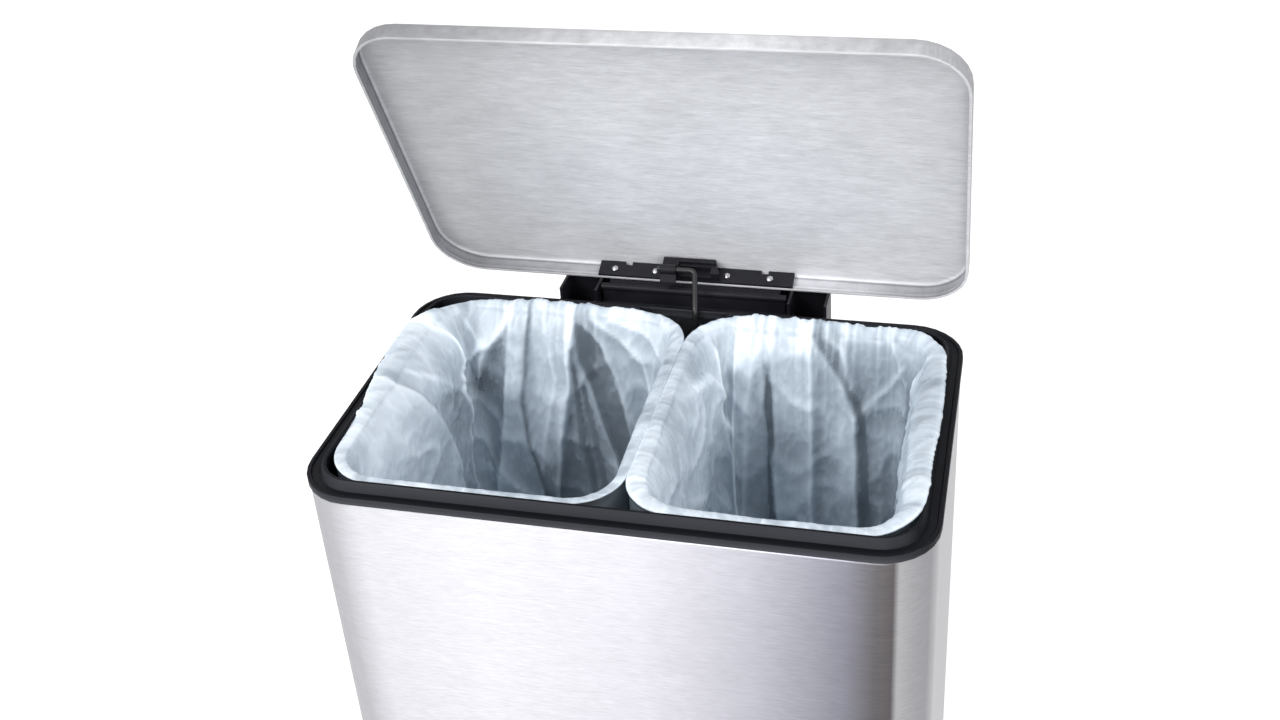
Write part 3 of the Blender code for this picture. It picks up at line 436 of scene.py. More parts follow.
black_finish = Finish("satin_black_moulding")
black_place = black_finish.place()
black_cloud = black_finish.cloud(black_place, **moulded_cloud)
black_finish.surface(
    Base_Color=black_finish.blend(black_finish.spread(black_cloud), *black_tones),
    Roughness=black_finish.spread(black_cloud, *black_roughness),
    Specular_IOR_Level=black_specular,
)
black_grain = black_finish.cloud(black_place, **moulded_grain)
black_finish.bump(black_grain, moulded_depth, moulded_strength)
for node, soft_edge in edge_of_moulding.items():
    dress(join_up(node, soft_edge), black_finish)


# Feet and the pedal's tread
# Moulded in matte black rubber with a coarse grain. The feet press up into the plinth, and the
# tread lies on the pedal's plate.
rubber_cloud = {"scale": 60.0, "detail": 5.0, "roughness": 0.7}
rubber_tones = ((0.012, 0.012, 0.012), (0.028, 0.028, 0.029))
rubber_roughness = (0.72, 0.88)
rubber_grain_scale = 2200.0
rubber_depth = 0.0001
rubber_strength = 0.4
rubber_edge = 0.0006
rubber_pieces = ("foot_front_left", "foot_front_right", "foot_rear_left", "foot_rear_right", "pedal_pad")


def mottled(name, cloud_sizes, tones, roughness, metallic=0.0):
    """A finish with two tones, and two limits of roughness, that soft noise moves between."""
    finish = Finish(name)
    cloud = finish.cloud(finish.place(), **cloud_sizes)
    finish.surface(
        Base_Color=finish.blend(cloud, *tones),
        Metallic=metallic,
        Roughness=finish.spread(cloud, *roughness),
    )
    return finish


rubber_finish = mottled("black_rubber", rubber_cloud, rubber_tones, rubber_roughness)
rubber_grain = rubber_finish.cloud(rubber_finish.place(), rubber_grain_scale)
rubber_finish.bump(rubber_grain, rubber_depth, rubber_strength)
for node in rubber_pieces:
    dress(join_up(node, rubber_edge), rubber_finish)


# Bright fastenings
# Turned and headed steel, plated: hinge pins, screws, rivets, the pedal's axle and its clip.
# They are pressed, riveted or screwed in where the parts meet.
plated_cloud = {"scale": 220.0, "detail": 4.0, "roughness": 0.6}
plated_tones = ((0.40, 0.40, 0.42), (0.62, 0.62, 0.63))
plated_roughness = (0.16, 0.34)
plated_edge = 0.0002
fastenings = ["hinge_pin_left", "hinge_pin_right", "housing_screw_left", "housing_screw_right"]
fastenings += ["pedal_axle", "axle_clip", "lever_pin", "rivet_1", "rivet_2", "rivet_3", "rivet_4"]

plated_finish = mottled("bright_plated_steel", plated_cloud, plated_tones, plated_roughness, metallic=1.0)
for node in fastenings:
    dress(join_up(node, plated_edge), plated_finish)


# Lid
# A stainless tray with a rolled skirt, brushed along the width inside and out. Painted shade and
# highlight lines run round the inner face of the skirt, under its lip and above its bend to the panel.
lid_rise = (0.0, -0.4179, 0.9085)
lid_out = (0.0, 0.9085, 0.4179)
lid_middle = 0.652
lid_depths = (0.4584, 0.4785)
mottle_scale = (26.0, 110.0, 110.0)
mottle_range = (0.32, 0.68)
lid_panel_tones = ((0.62, 0.625, 0.65), (0.73, 0.735, 0.76))
lid_heights = (0.50, 0.84)
lid_shade_by_height = (1.24, 0.91)
lid_line_shades = (0.90, 1.08)
lid_patch_scale = 12.0
lid_patch_detail = 3.0
lid_patch_shades = (0.97, 1.03)
lid_painted_sheen_stops = (
    (0.00, (0.60, 0.60, 0.60)),
    (0.14, (0.64, 0.64, 0.64)),
    (0.40, (1.00, 1.00, 1.00)),
    (0.66, (1.00, 1.00, 1.00)),
    (0.90, (0.90, 0.90, 0.90)),
    (1.00, (0.84, 0.84, 0.84)),
)
skirt_shade_stops = (
    (0.00, (0.52, 0.52, 0.53)),
    (0.16, (0.68, 0.68, 0.69)),
    (0.42, (0.80, 0.80, 0.80)),
    (0.66, (1.00, 1.00, 1.00)),
    (0.82, (0.84, 0.84, 0.84)),
    (1.00, (0.66, 0.66, 0.67)),
)
skirt_shade_and_highlight_stops = (
    (0.00, (1.00, 1.00, 1.00)),
    (0.08, (0.60, 0.60, 0.61)),
    (0.18, (1.12, 1.12, 1.12)),
    (0.34, (0.90, 0.90, 0.91)),
    (0.70, (0.96, 0.96, 0.97)),
    (0.82, (0.46, 0.46, 0.48)),
    (0.90, (1.18, 1.18, 1.18)),
    (1.00, (0.94, 0.94, 0.95)),
)
skirt_facing = (0.25, 0.75)
inner_facing = (0.4, 0.9)
inward_limits = (0.03, 0.10)
inner_left_gain = 0.35
low_skirt_shade_gain = -0.20
left_half = (0.0, 0.5)
low_heights = (0.50, 0.60)
dark_corner_widths = (0.80, 0.95)
dark_corner_times = (1.0, 2.4)
lid_metal_share = 0.22
lid_roughness = (0.42, 0.55)
pedal_edge = 0.0004

lid_finish = Finish("brushed_lid_steel")
lines, streaks, bands = brushed(lid_finish, lid_rise)
lid_place = lid_finish.place()
lid_normal = lid_finish.normal()
lid_side_normal = lid_finish.along(lid_normal, rightward)
lid_rise_normal = lid_finish.along(lid_normal, lid_rise)
lid_side = lid_finish.along(lid_place, rightward)
lid_height = lid_finish.along(lid_place, lid_rise)
lid_width = lid_finish.levels(lid_side, *ends_of_bin)

# The panel is mottled, with a painted reflection darker at its left end, and painted shade that
# pales from its top to its foot.
mottle_place = lid_finish.node("ShaderNodeMapping", {}, {"Vector": lid_place, "Scale": mottle_scale})
mottle = lid_finish.cloud(mottle_place, detail=5.0, roughness=0.65)
lid_tone_and_shading = lid_finish.blend(lid_finish.levels(mottle, *mottle_range), *lid_panel_tones)
lid_tone_and_shading = lid_finish.tint(lid_tone_and_shading, lid_finish.ramp(lid_width, lid_painted_sheen_stops))
lid_patches = lid_finish.cloud(lid_place, lid_patch_scale, lid_patch_detail)
lid_grain_and_shading = lid_finish.spread(lines, *lid_line_shades) * lid_finish.spread(streaks, *lid_line_shades)
lid_grain_and_shading = lid_grain_and_shading * lid_finish.levels(lid_height, *lid_heights, *lid_shade_by_height)
lid_grain_and_shading = lid_grain_and_shading * lid_finish.spread(lid_patches, *lid_patch_shades)

# The left skirt's inner face catches the light, unlike its outer face.
inner_left = lid_finish.levels(lid_side_normal, *inner_facing, 0.0, inner_left_gain)
lid_grain_and_shading = lid_grain_and_shading * (inner_left * lid_finish.levels(lid_width, *left_half, 1.0, 0.0) + 1.0)

# Painted shade darkens the low skirt's inner face, most of all by the right corner.
low_skirt_shade = lid_finish.levels(lid_rise_normal, *inner_facing, 0.0, low_skirt_shade_gain)
low_skirt_shade = low_skirt_shade * lid_finish.levels(lid_height, *low_heights, 1.0, 0.0)
low_skirt_shade = low_skirt_shade * lid_finish.levels(lid_width, *dark_corner_widths, *dark_corner_times)
lid_grain_and_shading = lid_grain_and_shading * (low_skirt_shade + 1.0)

# Both faces of the skirt take painted shade, darker towards its ends, and its inner face takes the
# painted shade and highlight lines.
skirt_share = lid_finish.levels(abs(lid_finish.along(lid_normal, lid_out)), *skirt_facing, 1.0, 0.0)
skirt_shaded_tone = lid_finish.tint(lid_tone_and_shading, lid_finish.ramp(lid_width, skirt_shade_stops))
lid_tone_and_shading = lid_finish.blend(skirt_share, lid_tone_and_shading, skirt_shaded_tone)
inward = (lid_middle - lid_height) * lid_rise_normal - lid_side * lid_side_normal
inner_share = lid_finish.levels(inward, *inward_limits)
lid_depth = lid_finish.levels(lid_finish.along(lid_place, lid_out), *lid_depths)
skirt_shade_and_highlight_lines = lid_finish.ramp(lid_depth, skirt_shade_and_highlight_stops)
lid_tone_and_shading = lid_finish.blend(inner_share, lid_tone_and_shading, skirt_shade_and_highlight_lines, "MULTIPLY")
lid_finish.surface(
    Base_Color=lid_finish.shade(lid_tone_and_shading, lid_grain_and_shading),
    Metallic=lid_metal_share,
    Roughness=lid_finish.spread(streaks, *lid_roughness),
)
lid_finish.bump(lines, brush_depth, brush_strength)

dress(join_up("lid_shell"), lid_finish)
# The pedal's plate takes the body's finish, painted reflection and all.
dress(join_up("pedal_plate", pedal_edge), body_finish)


# Push rod
# A bent wire with a tough black coat, from the lid's clip down to the pedal's lever.
wire_cloud = {"scale": 90.0, "detail": 4.0, "roughness": 0.6}
wire_tones = ((0.010, 0.010, 0.011), (0.022, 0.022, 0.024))
wire_roughness = (0.26, 0.40)
wire_sharp_deg = 50.0

wire_finish = mottled("black_coated_wire", wire_cloud, wire_tones, wire_roughness)
dress(join_up("push_rod", sharp_deg=wire_sharp_deg), wire_finish)


# Pedal lever
# A pressed steel channel on the pedal's axle, zinc plated to a dull grey with a faint spangle.
spangle_scale = 260.0
spangle_gain = 2.0
zinc_cloud_sizes = {"scale": 40.0, "detail": 4.0, "roughness": 0.6}
zinc_tones = ((0.36, 0.37, 0.38), (0.60, 0.61, 0.62))
zinc_roughness = (0.38, 0.52)
lever_edge = 0.0004

zinc_finish = Finish("zinc_plated_pressing")
zinc_place = zinc_finish.place()
spangle_cells = {"Vector": zinc_place, "Scale": spangle_scale}
spangle = zinc_finish.node("ShaderNodeTexVoronoi", {}, spangle_cells, "Distance")
zinc_cloud = zinc_finish.cloud(zinc_place, **zinc_cloud_sizes)
zinc_finish.surface(
    Base_Color=zinc_finish.blend(zinc_cloud * spangle * spangle_gain, *zinc_tones),
    Metallic=1.0,
    Roughness=zinc_finish.spread(zinc_cloud, *zinc_roughness),
)
dress(join_up("pedal_lever", lever_edge), zinc_finish)


# Buckets
# Two tapered buckets moulded in dark grey plastic with a fine grain. They stand on the tray, side
# by side under the collar, and lift out.
bucket_cloud = {"scale": 22.0, "detail": 4.0, "roughness": 0.6}
bucket_tones = ((0.030, 0.032, 0.036), (0.050, 0.052, 0.058))
bucket_roughness = (0.42, 0.56)
bucket_grain_scale = 1100.0
bucket_depth = 0.00008
bucket_strength = 0.4
bucket_edge = 0.0005

bucket_finish = mottled("dark_bucket_moulding", bucket_cloud, bucket_tones, bucket_roughness)
bucket_grain = bucket_finish.cloud(bucket_finish.place(), bucket_grain_scale)
bucket_finish.bump(bucket_grain, bucket_depth, bucket_strength)
for node in ("left_bucket", "right_bucket"):
    dress(join_up(node, bucket_edge), bucket_finish)


# Liner bags
# Thin translucent film, dropped into each bucket and turned out over its rim. The film is larger
# than the bucket, so it gathers over the back rim and hangs from there in long folds. Its paleness
# carries painted highlights, painted light and painted shade, and it glows a little.
film_cloud_sizes = {"scale": 16.0, "detail": 5.0, "roughness": 0.6}
film_grain_sizes = {"scale": 120.0, "detail": 4.0, "roughness": 0.6}
film_grain_depth = 0.0006
film_grain_strength = 0.3
cover_wander = (-0.05, 0.05)
full_cover = (0.0, 1.0)
painted_glow_cover = (1.0, 1.8)
film_tones = ((0.59, 0.72, 0.85), (0.81, 0.885, 0.96))
film_painted_glow_tones = ((0.06, 0.08, 0.10), (0.90, 0.95, 1.0))
film_painted_glow = 0.40
film_roughness = (0.22, 0.36)
film_alphas = (0.12, 0.97)

film_finish = Finish("liner_film")
film_place = film_finish.place()
film_cloud = film_finish.cloud(film_place, **film_cloud_sizes)
film_cover_and_light = film_finish.node("ShaderNodeAttribute", {"attribute_name": "cover"}, output="Fac")
film_cover_and_light = film_cover_and_light + film_finish.spread(film_cloud, *cover_wander)
# Past full cover the film glows white, a painted glow, and it glows faintly everywhere else.
film_painted_glow_share = film_finish.levels(film_cover_and_light, *painted_glow_cover)
film_finish.surface(
    Base_Color=film_finish.blend(film_finish.levels(film_cover_and_light, *full_cover), *film_tones),
    Emission_Color=film_finish.blend(film_painted_glow_share, *film_painted_glow_tones),
    Emission_Strength=film_painted_glow,
    Roughness=film_finish.spread(film_cloud, *film_roughness),
    Alpha=film_finish.levels(film_cover_and_light, *full_cover, *film_alphas),
)
film_grain = film_finish.cloud(film_place, **film_grain_sizes)
film_finish.bump(film_grain, film_grain_depth, film_grain_strength)

# The mesh has steps round the bag, and rows from the foot of the cuff over the rim to the floor.
around_steps = 640
wall_rows = 108
wall_row_power = 1.2
roll_steps = 13
cuff_row_shares = (0.0, 0.25, 0.5, 0.75, 1.0)
edge_row_shares = (0.3, 0.65, 1.0)
foot_row_shares = (0.25, 0.5, 0.75, 0.92)

# The bucket's rim and the film's places on it.
rim_top = 0.6112
rim_half_depth = 0.15925
rim_middle_y = -0.00325
rim_corner = 0.050
rim_hundredths = 100
least_corner_share = 0.3
film_gap = 0.0012
cuff_foot = 0.572
lip_clearance = 0.0052
lip_spread = (0.002, 0.006)
widest_spread = 0.0150
wall_drop = 0.0015
wall_inset_top = 0.0067
wall_inset_foot = 0.0315
bag_floor = 0.0806
foot_opening = 0.034
foot_rise = 0.0010

# The film's noises, each with its scale, its seed and its octaves.
film_noises = {
    "slow_wave": (2.2, 0, 2),
    "quick_wave": (9.0, 1, 2),
    "slow_pucker": (26.0, 2, 2),
    "quick_pucker": (70.0, 7, 2),
    "tuck": (30.0, 3, 2),
    "broad": (9.0, 4, 2),
    "sharp": (13.0, 6, 2),
    "fine": (50.0, 5, 3),
    "crumple": (38.0, 8, 3),
}
noise_roughness = 1.0
noise_step = 2.0
crease_steepness = {"sharp": 2.6, "fine": 3.0, "crumple": 2.5}
wave_shares = (0.5, 0.5)
pucker_shares = (0.6, 0.4)

# How much the wave and the pucker vary each row of the rim.
rim_shares = {
    "outward": (0.35, 0.15),
    "roll": (0.45, 0.12),
    "lift": (0.45, 0.15),
    "slope": (0.0, 0.0),
    "lean": (0.0, 0.0),
}

# The film's tucks over the back rim, and what they add to the rim and to the wall under it.
gather_fade = 0.02
tuck_level = 0.2
tuck_swing = 1.3
tuck_lift = 0.0020
tuck_stand = 0.0035
tuck_stand_depth = 0.05
tuck_cover = 0.26
tuck_cover_loss = 0.3
tuck_cover_depth = 0.07

# The shape of the folds, and of the film's lean and sag between them.
fold_strength = 0.62
fold_crown = 1.4
fold_sway = 0.004
fold_start = (-0.02, 0.02)
crest_light_line = 0.0030
crest_level = 0.9
crest_gain = 2.2
veil_and_shade_width = 0.022
veil_and_shade_edge = 0.003
patch_widths = (0.01, 0.01)
lean_start = 0.012
lean_depth = 0.15
calm_share = 0.7
calm_depths = (0.34, 0.52)
sag_level = 0.005
sag_broad = 0.006
sag_sharp = 0.0040
sag_fine = 0.0016
sag_depths = (0.0, 0.05)

# How much of what lies behind the film covers, from the cuff over the rim and down the wall, with
# painted highlights along the rim's edge, its crumples and the creases, and painted light on the left
# walls.
cuff_cover = 0.12
edge_cover = 0.5
edge_thinning = 0.9
edge_thin_spread = (0.001, 0.004)
rim_edge_highlight = 0.16
rim_edge_highlight_share = 0.12
rim_pucker_cover = 0.05
rim_wave_cover = 0.12
rim_crumple_glint = 0.16
rim_cover_loss = 0.06
wall_cover_top = 0.58
wall_cover_loss = 0.22
wall_cover_depths = (0.02, 0.24)
left_wall_light = 0.08
left_wall_light_gain = 0.20
left_wall_light_depths = (0.0, 0.05)
left_wall_start = 0.05
left_wall_full = 0.01
rear_wall = (0.05, 0.15)
rear_cover = 0.08
rear_cover_depth = 0.03
fold_veil_and_light_share = 0.85
sharp_crease_highlight = 0.14
fine_crease_highlight = 0.11
broad_cover = 0.10
cover_shift = 0.03
least_cover = 0.10
most_cover = 1.3

# The film's roll over the rim.
least_reach = 0.002
edge_power = 0.5
roll_fall_power = 3
roll_lift_power = 0.8
crumple_height = 0.0012
crumple_slant = 0.7
crumple_stretch = 0.6

# Each fold runs through places along the back wall and depths under the rim. Then come how far it
# stands out, how wide it falls away on its near and far side, the painted highlight on its crest (a
# painted shadow line where below naught), and the veil of film and painted light on its two sides
# (painted shade where below naught). A patch has its places, its painted highlight line (shadow
# where below naught), and the painted light round it (shade where below naught).
# The rim's stations are places round the bag in hundredths. There the film spreads outward, its
# roll reaches in and stands up, the roll hangs to a depth, and the film leans in under it.
bags = {
    "left": {
        "centre": -0.13065,
        "half": 0.14085,
        "seed": 3.0,
        "gather": (-0.195, -0.100),
        "folds": [
            (((-0.297, 0.0), (-0.284, 0.024), (-0.277, 0.040), (-0.285, 0.052), (-0.302, 0.058)),
             0.010, (0.012, 0.005), 0.8, (0.050, 0.100)),
            (((-0.305, 0.056), (-0.304, 0.070), (-0.290, 0.086), (-0.264, 0.108), (-0.264, 0.122)),
             0.010, (0.012, 0.005), 0.7, (-0.120, -0.060)),
            (((-0.268, 0.128), (-0.276, 0.144), (-0.278, 0.172), (-0.279, 0.204), (-0.276, 0.260)),
             0.008, (0.014, 0.005), 0.45, (-0.050, -0.060)),
            (((-0.277, 0.046), (-0.247, 0.048), (-0.214, 0.034)),
             0.006, (0.005, 0.020), 0.3, (-0.200, 0.150)),
            (((-0.244, 0.010), (-0.225, 0.026), (-0.213, 0.032)),
             0.003, (0.006, 0.010), 0.25, (0.0, 0.0)),
            (((-0.187, 0.0), (-0.198, 0.020), (-0.213, 0.040), (-0.230, 0.074)),
             0.010, (0.020, 0.005), 0.45, (0.100, -0.300)),
            (((-0.412, 0.0), (-0.395, 0.036), (-0.365, 0.082), (-0.349, 0.116), (-0.339, 0.148),
              (-0.335, 0.200)),
             0.012, (0.030, 0.005), 0.2, (0.120, -0.160)),
            (((-0.383, 0.006), (-0.344, 0.040), (-0.304, 0.078)),
             0.006, (0.020, 0.010), 0.3, (-0.060, 0.050)),
            (((-0.186, 0.0), (-0.193, 0.068), (-0.204, 0.142), (-0.225, 0.260)),
             0.012, (0.005, 0.030), 0.15, (-0.200, 0.250)),
            (((-0.165, 0.0), (-0.171, 0.066), (-0.176, 0.102), (-0.173, 0.152), (-0.164, 0.188),
              (-0.150, 0.280)),
             0.010, (0.020, 0.005), -0.55, (0.050, 0.0)),
            (((-0.148, 0.0), (-0.139, 0.074), (-0.160, 0.192), (-0.165, 0.260)),
             0.006, (0.010, 0.006), 0.2, (0.080, -0.050)),
            (((-0.116, 0.0), (-0.122, 0.072), (-0.135, 0.150), (-0.145, 0.226), (-0.150, 0.300)),
             0.014, (0.020, 0.005), 0.25, (0.350, -0.200)),
            (((-0.115, 0.0), (-0.111, 0.046), (-0.099, 0.082), (-0.071, 0.188), (-0.050, 0.270)),
             0.013, (0.020, 0.006), 0.2, (0.200, -0.500)),
            (((-0.116, 0.028), (-0.114, 0.136), (-0.107, 0.222), (-0.105, 0.300)),
             0.010, (0.012, 0.005), -0.4, (-0.100, -0.150)),
            (((-0.112, 0.0), (-0.088, 0.026), (-0.071, 0.066), (-0.063, 0.108), (-0.050, 0.200)),
             0.008, (0.005, 0.020), 0.3, (-0.250, 0.120)),
            (((-0.098, 0.0), (-0.065, 0.020), (-0.039, 0.044), (-0.015, 0.100)),
             0.006, (0.005, 0.015), 0.3, (-0.120, 0.120)),
            (((-0.076, 0.0), (-0.049, 0.006), (-0.030, 0.014), (0.0, 0.030)),
             0.005, (0.005, 0.012), 0.3, (-0.100, 0.100)),
            (((-0.237, 0.198), (-0.202, 0.214), (-0.169, 0.232)),
             0.006, (0.020, 0.006), 0.25, (0.200, -0.100)),
        ],
        "patches": [
            (((-0.252, 0.040), (-0.240, 0.085)), 0.0, -0.6),
            (((-0.235, 0.150), (-0.230, 0.190)), 0.0, 0.22),
            (((-0.500, 0.030), (-0.520, 0.130)), 0.0, 0.32),
            (((0.080, 0.0), (0.170, 0.0)), 0.0, -0.25),
            (((-0.262, 0.012), (-0.225, 0.022)), 0.0, -0.35),
            (((-0.104, 0.030), (-0.100, 0.060), (-0.088, 0.090), (-0.060, 0.190), (-0.040, 0.270)),
             -0.55, 0.0),
            (((-0.108, 0.080), (-0.100, 0.140), (-0.094, 0.222), (-0.092, 0.300)), -0.5, 0.0),
            (((-0.100, 0.110), (-0.096, 0.160)), 0.0, -0.25),
            (((-0.150, 0.190), (-0.155, 0.300)), 0.0, -0.6),
            (((-0.060, 0.130), (-0.045, 0.200)), 0.0, -0.25),
            (((-0.340, 0.060), (-0.320, 0.095)), 0.0, -0.45),
        ],
        "rim": {
            "stations": (
                0, 8, 14, 24, 34, 38, 44, 50, 55, 58, 61, 64, 65.5, 68, 73, 78, 84, 92, 100,
            ),
            "outward": (
                0.001, 0.001, 0.0, 0.001, 0.001, 0.002, 0.004, 0.005, 0.004, 0.002, 0.0, 0.006,
                0.014, 0.018, 0.014, 0.005, 0.001, 0.001, 0.001,
            ),
            "roll": (
                0.0, 0.0005, 0.002, 0.003, 0.003, 0.003, 0.002, 0.001, 0.001, 0.002, 0.004, 0.003,
                0.001, 0.001, 0.001, 0.002, 0.002, 0.001, 0.0,
            ),
            "lift": (
                0.0012, 0.0012, 0.002, 0.003, 0.003, 0.004, 0.005, 0.006, 0.006, 0.005, 0.003,
                0.002, 0.001, 0.001, 0.001, 0.001, 0.0012, 0.0012, 0.0012,
            ),
            "slope": (
                0.020, 0.020, 0.030, 0.030, 0.030, 0.030, 0.030, 0.030, 0.030, 0.030, 0.030, 0.030,
                0.030, 0.030, 0.030, 0.030, 0.030, 0.020, 0.020,
            ),
            "lean": (
                0.003, 0.003, 0.003, 0.006, 0.008, 0.006, 0.004, 0.004, 0.006, 0.010, 0.014, 0.020,
                0.024, 0.026, 0.024, 0.018, 0.008, 0.004, 0.003,
            ),
        },
    },
    "right": {
        "centre": 0.14265,
        "half": 0.12885,
        "seed": 11.0,
        "gather": (0.085, 0.215),
        "folds": [
            (((0.099, 0.0), (0.101, 0.110), (0.103, 0.248), (0.105, 0.330)),
             0.012, (0.005, 0.030), 0.15, (-0.300, 0.350)),
            (((0.100, 0.0), (0.088, 0.084), (0.100, 0.148)),
             0.008, (0.020, 0.005), 0.15, (0.100, -0.450)),
            (((0.089, 0.0), (0.072, 0.080), (0.065, 0.212), (0.060, 0.300)),
             0.010, (0.020, 0.006), 0.2, (0.150, 0.100)),
            (((0.065, 0.0), (0.054, 0.068), (0.043, 0.124), (0.041, 0.232)),
             0.008, (0.006, 0.020), 0.25, (-0.200, 0.200)),
            (((0.138, 0.0), (0.143, 0.106), (0.143, 0.232), (0.145, 0.330)),
             0.012, (0.030, 0.005), 0.3, (0.120, -0.300)),
            (((0.141, 0.0), (0.170, 0.048), (0.186, 0.092), (0.192, 0.138), (0.193, 0.242),
              (0.195, 0.330)),
             0.013, (0.020, 0.006), 0.1, (0.200, -0.550)),
            (((0.153, 0.0), (0.170, 0.012), (0.180, 0.056), (0.189, 0.102)),
             0.006, (0.006, 0.005), 0.3, (0.0, 0.0)),
            (((0.186, 0.088), (0.209, 0.062), (0.242, 0.026)),
             0.006, (0.006, 0.006), 0.35, (0.0, 0.0)),
            (((0.222, 0.0), (0.249, 0.046), (0.253, 0.166), (0.253, 0.260)),
             0.008, (0.010, 0.005), 0.15, (-0.080, -0.250)),
            (((0.024, 0.016), (0.018, 0.094), (0.045, 0.114)),
             0.008, (0.020, 0.005), 0.5, (0.120, -0.120)),
            (((-0.071, 0.012), (-0.020, 0.034), (0.017, 0.056)),
             0.010, (0.020, 0.005), 0.5, (0.200, 0.0)),
            (((0.018, 0.094), (0.043, 0.152), (0.045, 0.192), (0.045, 0.300)),
             0.008, (0.020, 0.005), 0.25, (0.100, -0.200)),
            (((0.293, 0.024), (0.288, 0.072), (0.260, 0.162), (0.250, 0.206), (0.250, 0.300)),
             0.012, (0.005, 0.020), 0.2, (-0.150, 0.400)),
            (((-0.176, 0.082), (-0.053, 0.154), (0.043, 0.232)),
             0.006, (0.010, 0.020), 0.2, (0.100, 0.0)),
        ],
        "patches": [
            (((-0.050, 0.0), (0.0, 0.0)), 0.0, -0.22),
            (((0.035, 0.012), (0.050, 0.050)), 0.0, -0.3),
            (((0.180, 0.060), (0.194, 0.095), (0.200, 0.140), (0.201, 0.242), (0.203, 0.330)),
             -0.6, 0.0),
            (((0.093, 0.030), (0.095, 0.110), (0.096, 0.248)), -0.45, 0.0),
            (((-0.150, 0.0), (-0.110, 0.0)), 0.0, -0.2),
            (((0.290, 0.0), (0.400, 0.0)), 0.0, -0.25),
        ],
        "rim": {
            "stations": (
                0, 8, 14, 20, 28, 34, 38, 44, 50, 56, 60, 64, 68, 78, 86, 90, 94, 100,
            ),
            "outward": (
                0.001, 0.002, 0.006, 0.008, 0.009, 0.008, 0.005, 0.004, 0.005, 0.005, 0.002, 0.0,
                0.0, 0.001, 0.002, 0.002, 0.001, 0.001,
            ),
            "roll": (
                0.001, 0.002, 0.006, 0.009, 0.010, 0.007, 0.003, 0.002, 0.002, 0.002, 0.003, 0.003,
                0.003, 0.004, 0.008, 0.007, 0.003, 0.001,
            ),
            "lift": (
                0.0015, 0.002, 0.004, 0.005, 0.005, 0.005, 0.004, 0.004, 0.006, 0.007, 0.005, 0.003,
                0.003, 0.003, 0.003, 0.003, 0.002, 0.0015,
            ),
            "slope": (
                0.020, 0.030, 0.050, 0.060, 0.060, 0.050, 0.030, 0.030, 0.030, 0.030, 0.030, 0.030,
                0.030, 0.030, 0.050, 0.050, 0.030, 0.020,
            ),
            "lean": (
                0.003, 0.003, 0.003, 0.003, 0.003, 0.003, 0.003, 0.004, 0.004, 0.005, 0.008, 0.012,
                0.015, 0.016, 0.010, 0.006, 0.004, 0.003,
            ),
        },
    },
}


def smooth(value, low, high):
    share = np.clip((value - low) / (high - low), 0.0, 1.0)
    return share * share * (3.0 - 2.0 * share)


def girth_runs(half, corner):
    """The runs round a rounded rectangle from mid front: straights and bends by turns."""
    bend = corner * math.pi / 2
    sx, sy = half[0] - corner, half[1] - corner
    return np.array([sx, bend, 2 * sy, bend, 2 * sx, bend, 2 * sy, bend, sx])


def on_ground(half, corner, run, share, inset):
    """Where a place of the girth comes once the rounded rectangle shrinks by an inset."""
    bend = np.maximum(corner - inset, corner * least_corner_share)
    sx, sy = half[0] - inset - bend, half[1] - inset - bend
    x, y = np.zeros(len(run)), np.zeros(len(run))
    for number in range(9):
        here = run == number
        part, wide, deep, round_part = share[here], sx[here], sy[here], bend[here]
        if number % 2:
            turn = (number - 3 + part * 2) * math.pi / 4
            side = 1 if number in (1, 3) else -1
            back = 1 if number in (3, 5) else -1
            x[here] = side * wide + round_part * np.cos(turn)
            y[here] = back * deep + round_part * np.sin(turn)
        elif number == 0:
            x[here], y[here] = wide * part, -deep - round_part
        elif number == 8:
            x[here], y[here] = wide * (part - 1), -deep - round_part
        elif number == 4:
            x[here], y[here] = wide * (1 - 2 * part), deep + round_part
        else:
            side = 1 if number == 2 else -1
            x[here] = side * (wide + round_part)
            y[here] = side * deep * (2 * part - 1)
    return np.column_stack([x, y + rim_middle_y])


def ripple(columns, kind, bag_seed):
    """Smooth noise of places on the film, from about minus one to one."""
    scale, seed, octaves = film_noises[kind]
    result = np.empty(len(columns))
    for index, row in enumerate(columns):
        cell = Vector((row[0] * scale, row[1] * scale, bag_seed + seed))
        result[index] = noise.fractal(cell, noise_roughness, noise_step, octaves)
    return result


def creases(columns, kind, bag_seed):
    """Noise that stands up in thin ridges, from 0 to 1."""
    return np.clip(1.0 - crease_steepness[kind] * np.abs(ripple(columns, kind, bag_seed)), 0.0, 1.0)


def fold_shape(back_place, down, fold):
    """How far a fold lifts the film, the painted highlight on its crest, and the veil of film and painted
    light and shade beside it.
    """
    points, height, widths, crest_light, veils_and_shades = fold
    nearest = np.full(len(back_place), 1.0)
    near_side = np.zeros(len(back_place), dtype=bool)
    for start, end in zip(points, points[1:]):
        run = (end[0] - start[0], end[1] - start[1])
        length = run[0] ** 2 + run[1] ** 2
        share = ((back_place - start[0]) * run[0] + (down - start[1]) * run[1]) / length
        share = np.clip(share, 0.0, 1.0)
        across = back_place - start[0] - run[0] * share
        below = down - start[1] - run[1] * share
        distance = np.hypot(across, below)
        closer = distance < nearest
        nearest = np.where(closer, distance, nearest)
        near_side = np.where(closer, run[0] * below - run[1] * across > 0, near_side)
    width = np.where(near_side, widths[0], widths[1])
    far_share = smooth(np.where(near_side, -nearest, nearest), -veil_and_shade_edge, veil_and_shade_edge)
    veil_and_shade = veils_and_shades[0] + (veils_and_shades[1] - veils_and_shades[0]) * far_share
    lift = fold_strength * height * np.exp(-((nearest / width) ** fold_crown))
    crest_light_width = crest_light_line * (crest_level + crest_gain * max(crest_light, 0.0) ** 2)
    cover = crest_light * np.exp(-((nearest / crest_light_width) ** 2)) + veil_and_shade * np.exp(-nearest / veil_and_shade_width)
    return lift, cover


